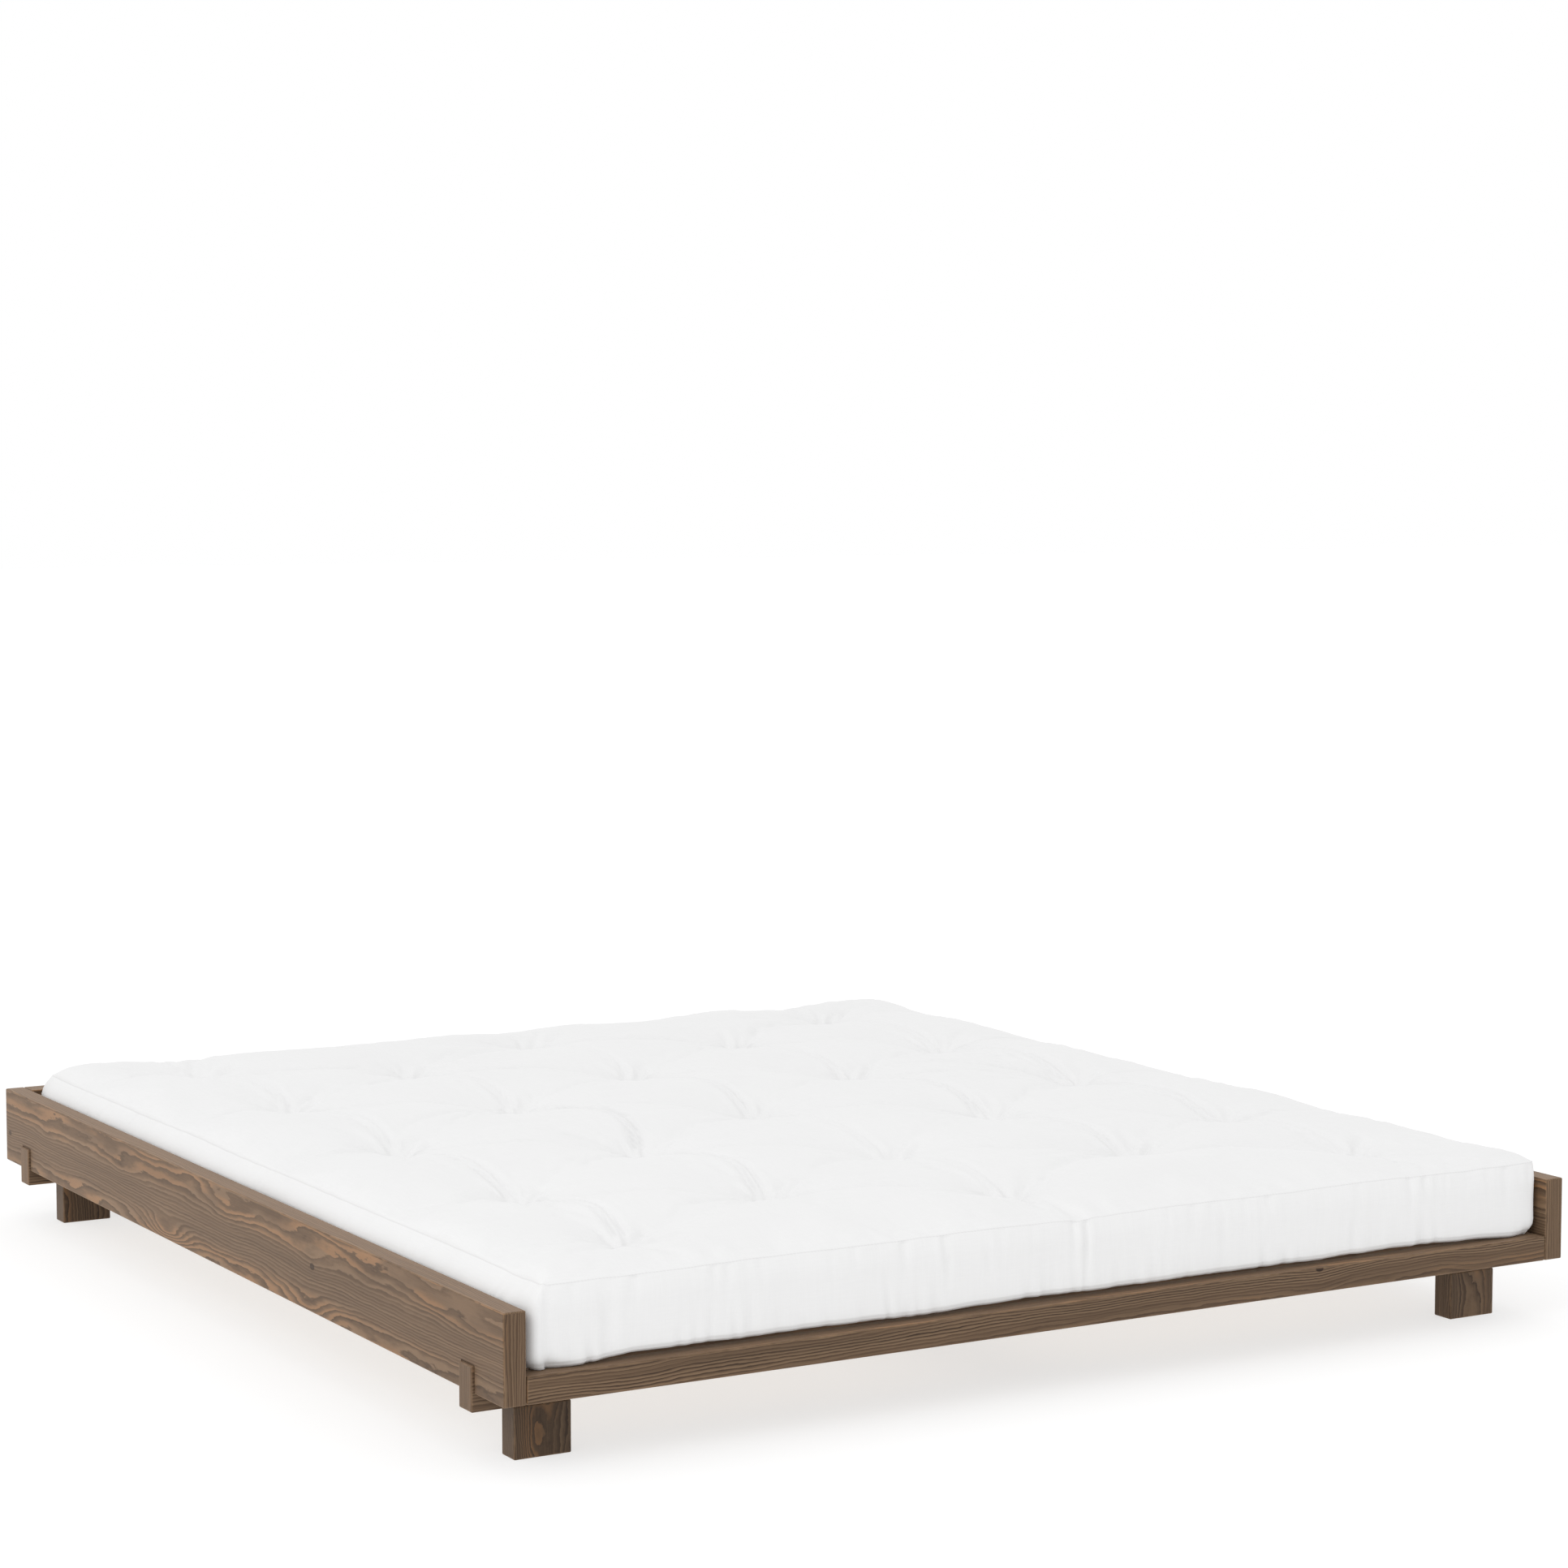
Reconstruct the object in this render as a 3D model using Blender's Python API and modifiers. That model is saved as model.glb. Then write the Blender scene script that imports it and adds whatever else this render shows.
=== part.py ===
"""Low pine bed frame for a 180 x 200 cm mattress, with its tufted mattress.

Metres, +Z up. The bed stands on Z = 0 with its centre over the origin, its head end
at +Y and its foot end at -Y. Left is -X.
"""
import math

import bmesh
import bpy
from mathutils import Vector

# ---------------------------------------------------------------- driving dimensions
INNER_WIDTH = 1.800        # between the side boards
LENGTH = 2.060             # over the whole frame
BOARD_THICK = 0.034
BOARD_HEIGHT = 0.130
BOARD_BOTTOM = 0.101
HEAD_BOARD_THICK = 0.042
RAIL_DEPTH = 0.040
RAIL_HEIGHT = 0.039
RAIL_END_GAP = 0.0012      # open joint seen at each end of the foot rail

BEAM_THICK = 0.0405        # cross beams stand on edge
BEAM_BOTTOM = 0.075
BEAM_TOP = 0.1395
BEAM_FROM_END = 0.1118     # beam centre, measured in from the frame's end
BEAM_PROUD = 0.0044        # beam ends stand out past the side boards
NOTCH_SIDE_GAP = 0.0012
NOTCH_TOP_GAP = 0.0015

LEG_WIDTH = 0.088
LEG_DEPTH = 0.0395
LEG_FROM_CENTRE = 0.830

MIDBEAM_WIDTH = 0.070
MIDBEAM_HEIGHT = 0.034
MIDBEAM_SEAT = 0.020       # how far each end is housed in its cross beam
MIDBEAM_LEG_DEPTH = 0.040
MIDBEAM_LEG_FROM_CENTRE = 0.450
LEDGE_WIDTH = 0.025

SLAT_COUNT = 14
SLAT_WIDTH = 0.068
SLAT_THICK = 0.0147
SLAT_END_GAP = 0.004       # from a slat's end to the side board
STRAP_WIDTH = 0.025
STRAP_THICK = 0.0010
STRAP_FROM_CENTRE = 0.480

MATTRESS_HALF_WIDTH = 0.896
MATTRESS_FOOT = -1.018
MATTRESS_HEAD = 0.984
MATTRESS_BOTTOM = 0.1410
MATTRESS_EDGE_TOP = 0.262  # height of the top round its edge
MATTRESS_CROWN = 0.024     # extra height at the middle
MATTRESS_CUTS = 5

BRACKET_LEG = 0.040
BRACKET_THICK = 0.0025
BRACKET_HEIGHT = 0.024
BRACKET_CENTRE_Z = 0.119
BRACKET_HOLE_FROM_CORNER = 0.026

CLEARANCE = 0.0003         # between pieces that touch
EDGE_ROUND = 0.002         # planed boards, beams and legs
SLAT_ROUND = 0.0015
SMALL_MERGE = 0.00001
CUT_PAST = 0.010           # how far an open cutter runs past the surface it opens

# Fasteners: head radius, head height, shank radius, length under the head, sides.
LEG_BOLT = (0.0065, 0.0080, 0.0040, 0.1000, 20)
BEAM_SCREW = (0.0060, 0.0040, 0.0030, 0.0880, 16)
MIDBEAM_SCREW = (0.0060, 0.0040, 0.0030, 0.0700, 16)
BRACKET_SCREW = (0.0044, 0.0026, 0.0022, 0.0180, 12)
SLAT_SCREW = (0.0040, 0.0025, 0.0020, 0.0280, 12)
TIP_SHARE = 1.8            # a screw's point, in shank radii
HEAD_INSET = 0.0006        # a sunk head lies this far below the wood
HEX_SOCKET_RADIUS = 0.0034
HEX_SOCKET_DEPTH = 0.0040

# ------------------------------------------------------------------ derived positions
SIDES = (("left", -1), ("right", 1))
ENDS = (("foot", -1), ("head", 1))
HALF_INNER = INNER_WIDTH / 2
HALF_LENGTH = LENGTH / 2
HALF_OUTER = HALF_INNER + BOARD_THICK
BOARD_TOP = BOARD_BOTTOM + BOARD_HEIGHT
BEAM_Y = HALF_LENGTH - BEAM_FROM_END
BEAM_INNER_Y = BEAM_Y - BEAM_THICK / 2
DECK_TOP = BEAM_TOP - 2 * CLEARANCE
SLAT_BOTTOM = DECK_TOP - SLAT_THICK
SUPPORT_TOP = SLAT_BOTTOM - CLEARANCE
MIDBEAM_BOTTOM = SUPPORT_TOP - MIDBEAM_HEIGHT
HEAD_BOARD_INNER_Y = HALF_LENGTH - HEAD_BOARD_THICK
RAIL_INNER_Y = HALF_LENGTH - RAIL_DEPTH
BOARD_MIDDLE_X = HALF_INNER + BOARD_THICK / 2


# -------------------------------------------------------------------------- helpers
def clear_scene():
    for obj in list(bpy.data.objects):
        bpy.data.objects.remove(obj, do_unlink=True)


def new_collection(name):
    collection = bpy.data.collections.new(name)
    bpy.context.scene.collection.children.link(collection)
    return collection


def new_material(name, colour, roughness, metallic=0.0):
    material = bpy.data.materials.new(name)
    material.use_nodes = True
    shader = material.node_tree.nodes["Principled BSDF"]
    shader.inputs["Base Color"].default_value = (*colour, 1.0)
    shader.inputs["Roughness"].default_value = roughness
    shader.inputs["Metallic"].default_value = metallic
    material.diffuse_color = (*colour, 1.0)
    return material


def new_empty(name, location):
    empty = bpy.data.objects.new(name, None)
    empty.location = location
    empty.empty_display_size = 0.1
    bpy.context.scene.collection.objects.link(empty)
    return empty


def new_part(name, mesh, finish, location, parent):
    """A named piece with a material of its own, placed and parented."""
    obj = bpy.data.objects.new(name, mesh)
    parts.objects.link(obj)
    obj.parent = parent
    obj.location = Vector(location) - parent.location
    colour, roughness, metallic = finish
    if not mesh.materials:
        mesh.materials.append(new_material(name, colour, roughness, metallic))
    return obj


def new_cutter(name, mesh, location):
    obj = bpy.data.objects.new(name, mesh)
    cutters.objects.link(obj)
    obj.location = location
    obj.hide_render = True
    obj.display_type = "WIRE"
    return obj


def box_mesh(name, low, high):
    """A closed box about its own centre, and where that centre goes."""
    size = Vector(high) - Vector(low)
    mesh = bpy.data.meshes.new(name)
    shape = bmesh.new()
    bmesh.ops.create_cube(shape, size=1.0)
    bmesh.ops.scale(shape, vec=size, verts=shape.verts)
    shape.to_mesh(mesh)
    shape.free()
    return mesh, (Vector(low) + Vector(high)) / 2


def round_edges(obj, width, segments=2):
    bevel = obj.modifiers.new("rounded edges", "BEVEL")
    bevel.width = width
    bevel.segments = segments
    bevel.limit_method = "NONE"
    return bevel


def add_box(name, low, high, finish, edge, segments=2):
    mesh, centre = box_mesh(name, low, high)
    obj = new_part(name, mesh, finish, centre, frame_origin)
    round_edges(obj, edge, segments)
    return obj


def mirrored_span(side, near, far):
    """Low and high X of a span given by its distances from the centre plane."""
    return min(side * near, side * far), max(side * near, side * far)


def cut(obj, cutter):
    boolean = obj.modifiers.new(cutter.name, "BOOLEAN")
    boolean.operation = "DIFFERENCE"
    boolean.solver = "EXACT"
    boolean.object = cutter


def cut_box(obj, name, low, high):
    mesh, centre = box_mesh(name, low, high)
    cut(obj, new_cutter(name, mesh, centre))


def turned_mesh(name, profile, sides):
    """Spin a profile of (radius, height) points, given from the top down, round Z."""
    mesh = bpy.data.meshes.new(name + "_profile")
    shape = bmesh.new()
    points = [shape.verts.new((radius, 0.0, height)) for radius, height in profile]
    for first, second in zip(points, points[1:]):
        shape.edges.new((first, second))
    shape.to_mesh(mesh)
    shape.free()
    blank = bpy.data.objects.new(name + "_blank", mesh)
    bpy.context.scene.collection.objects.link(blank)
    screw = blank.modifiers.new("turning", "SCREW")
    screw.axis = "Z"
    screw.angle = math.tau
    screw.steps = sides
    screw.render_steps = sides
    screw.use_merge_vertices = True
    screw.merge_threshold = SMALL_MERGE
    graph = bpy.context.evaluated_depsgraph_get()
    turned = bpy.data.meshes.new_from_object(blank.evaluated_get(graph))
    turned.name = name
    bpy.data.objects.remove(blank, do_unlink=True)
    turned.shade_smooth()
    turned.set_sharp_from_angle(angle=math.radians(40))
    return turned


def fastener_meshes(name, size):
    """The fastener itself, and the slightly larger shape that its hole is cut with."""
    head_radius, head_height, shank_radius, length, sides = size
    tip = shank_radius * TIP_SHARE
    body = [
        (0.0, head_height),
        (head_radius * 0.9, head_height),
        (head_radius, head_height * 0.8),
        (head_radius, 0.0),
        (shank_radius, 0.0),
        (shank_radius, tip - length),
        (shank_radius * 0.25, -length),
        (0.0, -length),
    ]
    bore_radius = shank_radius + CLEARANCE
    sunk_radius = head_radius + CLEARANCE
    bore = [
        (0.0, head_height + CUT_PAST),
        (sunk_radius, head_height + CUT_PAST),
        (sunk_radius, -CLEARANCE),
        (bore_radius, -CLEARANCE),
        (bore_radius, -length - CLEARANCE),
        (0.0, -length - CLEARANCE),
    ]
    shank_bore = [
        (0.0, -CLEARANCE / 2),
        (bore_radius, -CLEARANCE / 2),
        (bore_radius, -length - CLEARANCE),
        (0.0, -length - CLEARANCE),
    ]
    return {
        "body": turned_mesh(name, body, sides),
        "sunk": turned_mesh(name + "_bore", bore, sides),
        "surface": turned_mesh(name + "_shank_bore", shank_bore, sides),
    }


def add_fastener(name, meshes, seat, outward, through, sunk):
    """A screw or bolt whose head sits at `seat`, and its hole in each piece it passes."""
    body = new_part(name, meshes["body"], ZINC_STEEL, seat, frame_origin)
    turn = Vector(outward).to_track_quat("Z", "Y")
    body.rotation_mode = "QUATERNION"
    body.rotation_quaternion = turn
    bore = new_cutter(name + "_hole", meshes["sunk" if sunk else "surface"], seat)
    bore.rotation_mode = "QUATERNION"
    bore.rotation_quaternion = turn
    for piece in through:
        cut(piece, bore)
    return body


# --------------------------------------------------------------------- wooden frame
def make_side_boards():
    boards = {}
    for side_name, side in SIDES:
        x_low, x_high = mirrored_span(side, HALF_INNER, HALF_OUTER)
        board = add_box(
            "side_board_" + side_name,
            (x_low, -HALF_LENGTH, BOARD_BOTTOM),
            (x_high, HALF_LENGTH, BOARD_TOP),
            STAINED_PINE,
            EDGE_ROUND,
        )
        for end_name, end in ENDS:
            half_notch = BEAM_THICK / 2 + NOTCH_SIDE_GAP
            cut_box(
                board,
                f"notch_{end_name}_{side_name}",
                (x_low - CUT_PAST, end * BEAM_Y - half_notch, BOARD_BOTTOM - CUT_PAST),
                (x_high + CUT_PAST, end * BEAM_Y + half_notch, BEAM_TOP + NOTCH_TOP_GAP),
            )
        boards[side_name] = board
    return boards


def make_head_board():
    half_width = HALF_INNER - CLEARANCE
    return add_box(
        "head_board",
        (-half_width, HEAD_BOARD_INNER_Y, BOARD_BOTTOM),
        (half_width, HALF_LENGTH, BOARD_TOP),
        STAINED_PINE,
        EDGE_ROUND,
    )


def make_foot_rail():
    half_width = HALF_INNER - RAIL_END_GAP
    return add_box(
        "foot_rail",
        (-half_width, -HALF_LENGTH, BOARD_BOTTOM),
        (half_width, -RAIL_INNER_Y, BOARD_BOTTOM + RAIL_HEIGHT),
        STAINED_PINE,
        EDGE_ROUND,
    )


def make_cross_beams():
    half_length = HALF_OUTER + BEAM_PROUD
    half_pocket = MIDBEAM_WIDTH / 2 + CLEARANCE
    beams = {}
    for end_name, end in ENDS:
        beam = add_box(
            "cross_beam_" + end_name,
            (-half_length, end * BEAM_Y - BEAM_THICK / 2, BEAM_BOTTOM),
            (half_length, end * BEAM_Y + BEAM_THICK / 2, BEAM_TOP),
            STAINED_PINE,
            EDGE_ROUND,
        )
        pocket_low, pocket_high = mirrored_span(
            end, BEAM_INNER_Y - CUT_PAST, BEAM_INNER_Y + MIDBEAM_SEAT
        )
        cut_box(
            beam,
            f"midbeam_pocket_{end_name}",
            (-half_pocket, pocket_low, MIDBEAM_BOTTOM - CLEARANCE),
            (half_pocket, pocket_high, BEAM_TOP + CUT_PAST),
        )
        beams[end_name] = beam
    return beams


def make_legs():
    legs = {}
    for end_name, end in ENDS:
        for side_name, side in SIDES:
            x = side * LEG_FROM_CENTRE
            y = end * BEAM_Y
            legs[end_name, side_name] = add_box(
                f"leg_{end_name}_{side_name}",
                (x - LEG_WIDTH / 2, y - LEG_DEPTH / 2, 0.0),
                (x + LEG_WIDTH / 2, y + LEG_DEPTH / 2, BEAM_BOTTOM - CLEARANCE),
                STAINED_PINE,
                EDGE_ROUND,
            )
    return legs


def make_midbeam():
    half_length = BEAM_INNER_Y + MIDBEAM_SEAT - CLEARANCE
    return add_box(
        "midbeam",
        (-MIDBEAM_WIDTH / 2, -half_length, MIDBEAM_BOTTOM),
        (MIDBEAM_WIDTH / 2, half_length, SUPPORT_TOP),
        STAINED_PINE,
        EDGE_ROUND,
    )


def make_midbeam_legs():
    legs = {}
    for end_name, end in ENDS:
        y = end * MIDBEAM_LEG_FROM_CENTRE
        legs[end_name] = add_box(
            "midbeam_leg_" + end_name,
            (-MIDBEAM_WIDTH / 2, y - MIDBEAM_LEG_DEPTH / 2, 0.0),
            (MIDBEAM_WIDTH / 2, y + MIDBEAM_LEG_DEPTH / 2, MIDBEAM_BOTTOM - CLEARANCE),
            STAINED_PINE,
            EDGE_ROUND,
        )
    return legs


def make_ledges():
    """Strips glued inside the side boards, between the cross beams."""
    ledges = {}
    half_length = BEAM_INNER_Y - CLEARANCE
    for side_name, side in SIDES:
        x_low, x_high = mirrored_span(
            side, HALF_INNER - LEDGE_WIDTH, HALF_INNER - CLEARANCE
        )
        ledges[side_name] = add_box(
            "ledge_" + side_name,
            (x_low, -half_length, BOARD_BOTTOM),
            (x_high, half_length, SUPPORT_TOP),
            STAINED_PINE,
            SLAT_ROUND,
        )
    return ledges


def slat_centres():
    """Slats spread evenly between the cross beams, with equal gaps."""
    span = 2 * BEAM_INNER_Y
    gap = (span - SLAT_COUNT * SLAT_WIDTH) / (SLAT_COUNT + 1)
    first = -BEAM_INNER_Y + gap + SLAT_WIDTH / 2
    return [first + index * (gap + SLAT_WIDTH) for index in range(SLAT_COUNT)]


def make_slats():
    half_length = HALF_INNER - SLAT_END_GAP
    slats = []
    for number, y in enumerate(slat_centres(), start=1):
        slat = add_box(
            f"slat_{number:02d}",
            (-half_length, y - SLAT_WIDTH / 2, SLAT_BOTTOM),
            (half_length, y + SLAT_WIDTH / 2, DECK_TOP),
            RAW_PINE,
            SLAT_ROUND,
            segments=1,
        )
        slats.append(slat)
    return slats


def make_slat_straps():
    """Webbing stapled along the slats, which keeps them at their spacing."""
    centres = slat_centres()
    low_z = DECK_TOP + CLEARANCE
    for side_name, side in SIDES:
        x = side * STRAP_FROM_CENTRE
        add_box(
            "slat_strap_" + side_name,
            (x - STRAP_WIDTH / 2, centres[0] - SLAT_WIDTH * 0.4, low_z),
            (x + STRAP_WIDTH / 2, centres[-1] + SLAT_WIDTH * 0.4, low_z + STRAP_THICK),
            WEBBING,
            STRAP_THICK / 4,
            segments=1,
        )


# ------------------------------------------------------------------------- fittings
def bracket_mesh(name):
    """An L of flat steel, its corner at the origin and its legs along +X and +Y."""
    outline = bpy.data.curves.new(name + "_outline", "CURVE")
    outline.dimensions = "2D"
    outline.fill_mode = "BOTH"
    outline.extrude = BRACKET_HEIGHT / 2
    corners = [
        (0.0, 0.0),
        (BRACKET_LEG, 0.0),
        (BRACKET_LEG, BRACKET_THICK),
        (BRACKET_THICK, BRACKET_THICK),
        (BRACKET_THICK, BRACKET_LEG),
        (0.0, BRACKET_LEG),
    ]
    spline = outline.splines.new("POLY")
    spline.points.add(len(corners) - 1)
    for point, (x, y) in zip(spline.points, corners):
        point.co = (x, y, 0.0, 1.0)
    spline.use_cyclic_u = True
    blank = bpy.data.objects.new(name + "_blank", outline)
    bpy.context.scene.collection.objects.link(blank)
    graph = bpy.context.evaluated_depsgraph_get()
    mesh = bpy.data.meshes.new_from_object(blank.evaluated_get(graph))
    mesh.name = name
    bpy.data.objects.remove(blank, do_unlink=True)
    shape = bmesh.new()
    shape.from_mesh(mesh)
    bmesh.ops.remove_doubles(shape, verts=shape.verts, dist=SMALL_MERGE)
    bmesh.ops.recalc_face_normals(shape, faces=shape.faces)
    shape.to_mesh(mesh)
    shape.free()
    return mesh


def make_corner_brackets(boards, end_pieces):
    """One bracket in each inner corner, screwed to the side board and the end piece."""
    screw = fastener_meshes("bracket_screw", BRACKET_SCREW)
    inner_y = {"foot": RAIL_INNER_Y, "head": HEAD_BOARD_INNER_Y}
    for end_name, end in ENDS:
        for side_name, side in SIDES:
            corner = Vector((
                side * (HALF_INNER - CLEARANCE),
                end * (inner_y[end_name] - CLEARANCE),
                BRACKET_CENTRE_Z,
            ))
            name = f"corner_bracket_{end_name}_{side_name}"
            mesh = bracket_mesh(name)
            bracket = new_part(name, mesh, ZINC_STEEL, corner, frame_origin)
            quarter_turns = {(-1, -1): 0, (1, -1): 1, (1, 1): 2, (-1, 1): 3}
            bracket.rotation_euler.z = quarter_turns[side, end] * math.pi / 2
            face = BRACKET_THICK + 2 * CLEARANCE
            along = BRACKET_HOLE_FROM_CORNER
            add_fastener(
                f"bracket_screw_{end_name}_{side_name}_side",
                screw,
                corner + Vector((-side * face, -end * along, 0.0)),
                (-side, 0.0, 0.0),
                (bracket, boards[side_name]),
                sunk=False,
            )
            add_fastener(
                f"bracket_screw_{end_name}_{side_name}_end",
                screw,
                corner + Vector((-side * along, -end * face, 0.0)),
                (0.0, -end, 0.0),
                (bracket, end_pieces[end_name]),
                sunk=False,
            )


def make_beam_fasteners(boards, beams, legs):
    """A bolt down through each beam into its leg, a screw up through it into the board."""
    bolt = fastener_meshes("leg_bolt", LEG_BOLT)
    screw = fastener_meshes("beam_screw", BEAM_SCREW)
    bolt_seat_z = BEAM_TOP - HEAD_INSET - LEG_BOLT[1]
    screw_seat_z = BEAM_BOTTOM + HEAD_INSET + BEAM_SCREW[1]
    socket_mesh = bpy.data.meshes.new("hex_socket")
    shape = bmesh.new()
    bmesh.ops.create_cone(
        shape,
        cap_ends=True,
        segments=6,
        radius1=HEX_SOCKET_RADIUS,
        radius2=HEX_SOCKET_RADIUS,
        depth=2 * HEX_SOCKET_DEPTH,
    )
    shape.to_mesh(socket_mesh)
    shape.free()
    for end_name, end in ENDS:
        for side_name, side in SIDES:
            y = end * BEAM_Y
            bolt_seat = Vector((side * LEG_FROM_CENTRE, y, bolt_seat_z))
            bolt_body = add_fastener(
                f"leg_bolt_{end_name}_{side_name}",
                bolt,
                bolt_seat,
                (0.0, 0.0, 1.0),
                (beams[end_name], legs[end_name, side_name]),
                sunk=True,
            )
            head_top = bolt_seat + Vector((0.0, 0.0, LEG_BOLT[1]))
            socket_name = f"hex_socket_{end_name}_{side_name}"
            cut(bolt_body, new_cutter(socket_name, socket_mesh, head_top))
            add_fastener(
                f"beam_screw_{end_name}_{side_name}",
                screw,
                Vector((side * BOARD_MIDDLE_X, y, screw_seat_z)),
                (0.0, 0.0, -1.0),
                (beams[end_name], boards[side_name]),
                sunk=True,
            )


def make_midbeam_screws(midbeam, midbeam_legs):
    screw = fastener_meshes("midbeam_screw", MIDBEAM_SCREW)
    seat_z = SUPPORT_TOP - HEAD_INSET - MIDBEAM_SCREW[1]
    for end_name, end in ENDS:
        add_fastener(
            "midbeam_screw_" + end_name,
            screw,
            (0.0, end * MIDBEAM_LEG_FROM_CENTRE, seat_z),
            (0.0, 0.0, 1.0),
            (midbeam, midbeam_legs[end_name]),
            sunk=True,
        )


def make_slat_screws(slats, ledges):
    """The first and last slats are screwed down to the ledges."""
    screw = fastener_meshes("slat_screw", SLAT_SCREW)
    seat_z = DECK_TOP - HEAD_INSET - SLAT_SCREW[1]
    centres = slat_centres()
    end_slats = {"foot": (slats[0], centres[0]), "head": (slats[-1], centres[-1])}
    for end_name, _ in ENDS:
        slat, y = end_slats[end_name]
        for side_name, side in SIDES:
            add_fastener(
                f"slat_screw_{end_name}_{side_name}",
                screw,
                (side * (HALF_INNER - LEDGE_WIDTH / 2), y, seat_z),
                (0.0, 0.0, 1.0),
                (slat, ledges[side_name]),
                sunk=True,
            )


# ------------------------------------------------------------------------- mattress
def pull_to_edge(share, power):
    """Move a grid line that lies at `share` of the half size out towards the edge."""
    return math.copysign(1.0 - (1.0 - abs(share)) ** power, share)


def make_mattress(parent):
    """A closed cushion: a box cage with loops near its edges, crowned and subdivided."""
    half_width = MATTRESS_HALF_WIDTH
    half_length = (MATTRESS_HEAD - MATTRESS_FOOT) / 2
    half_height = (MATTRESS_EDGE_TOP - MATTRESS_BOTTOM) / 2
    mesh = bpy.data.meshes.new("mattress")
    cage = bmesh.new()
    bmesh.ops.create_cube(cage, size=2.0)
    bmesh.ops.subdivide_edges(
        cage, edges=cage.edges, cuts=MATTRESS_CUTS, use_grid_fill=True
    )
    for vert in cage.verts:
        across = pull_to_edge(vert.co.x, 3.0)
        along = pull_to_edge(vert.co.y, 3.0)
        up = pull_to_edge(vert.co.z, 1.5)
        crown = (1.0 - across ** 4) * (1.0 - along ** 4) * max(up, 0.0)
        vert.co = (
            across * half_width,
            along * half_length,
            up * half_height + crown * MATTRESS_CROWN,
        )
    cage.to_mesh(mesh)
    cage.free()
    mesh.shade_smooth()
    centre = Vector((
        0.0,
        (MATTRESS_HEAD + MATTRESS_FOOT) / 2,
        (MATTRESS_EDGE_TOP + MATTRESS_BOTTOM) / 2,
    ))
    mattress = new_part("mattress", mesh, COTTON, centre, parent)
    soft = mattress.modifiers.new("soft form", "SUBSURF")
    soft.levels = 1
    soft.render_levels = 1
    return mattress


# Base colour, roughness and metallic value of each kind of surface.
STAINED_PINE = ((0.155, 0.105, 0.075), 0.55, 0.0)
RAW_PINE = ((0.62, 0.44, 0.26), 0.60, 0.0)
WEBBING = ((0.55, 0.52, 0.46), 0.85, 0.0)
ZINC_STEEL = ((0.60, 0.60, 0.58), 0.35, 1.0)
COTTON = ((0.82, 0.81, 0.81), 0.90, 0.0)

clear_scene()
parts = new_collection("wooden_bed_frame")
cutters = new_collection("cutters")
frame_origin = new_empty("frame_origin", (0.0, 0.0, 0.0))
mattress_lift = new_empty("mattress_lift", (0.0, 0.0, DECK_TOP))

side_boards = make_side_boards()
head_board = make_head_board()
foot_rail = make_foot_rail()
cross_beams = make_cross_beams()
corner_legs = make_legs()
middle_beam = make_midbeam()
middle_legs = make_midbeam_legs()
side_ledges = make_ledges()
bed_slats = make_slats()
make_slat_straps()
make_corner_brackets(side_boards, {"foot": foot_rail, "head": head_board})
make_beam_fasteners(side_boards, cross_beams, corner_legs)
make_midbeam_screws(middle_beam, middle_legs)
make_slat_screws(bed_slats, side_ledges)
make_mattress(mattress_lift)
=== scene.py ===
"""Looks for the low pine bed frame: stained pine, slats, fittings and a tufted mattress."""
import math

import bpy
import numpy as np
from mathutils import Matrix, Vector


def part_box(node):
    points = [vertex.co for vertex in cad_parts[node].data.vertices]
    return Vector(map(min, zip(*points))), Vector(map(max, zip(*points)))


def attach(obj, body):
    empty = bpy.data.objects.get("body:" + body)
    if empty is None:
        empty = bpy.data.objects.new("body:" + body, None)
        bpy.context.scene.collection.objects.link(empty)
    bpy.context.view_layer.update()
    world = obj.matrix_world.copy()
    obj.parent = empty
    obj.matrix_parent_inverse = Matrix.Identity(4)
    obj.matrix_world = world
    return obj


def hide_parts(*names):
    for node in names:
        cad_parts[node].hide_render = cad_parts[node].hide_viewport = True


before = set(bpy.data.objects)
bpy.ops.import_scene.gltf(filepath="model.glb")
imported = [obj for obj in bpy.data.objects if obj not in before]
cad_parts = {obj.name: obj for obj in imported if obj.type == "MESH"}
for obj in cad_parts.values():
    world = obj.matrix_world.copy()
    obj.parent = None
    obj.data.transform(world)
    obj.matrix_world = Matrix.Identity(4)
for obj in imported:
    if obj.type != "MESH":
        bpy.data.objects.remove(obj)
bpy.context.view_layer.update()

MATTRESS_BODY = "mattress"
MM = 0.001


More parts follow.
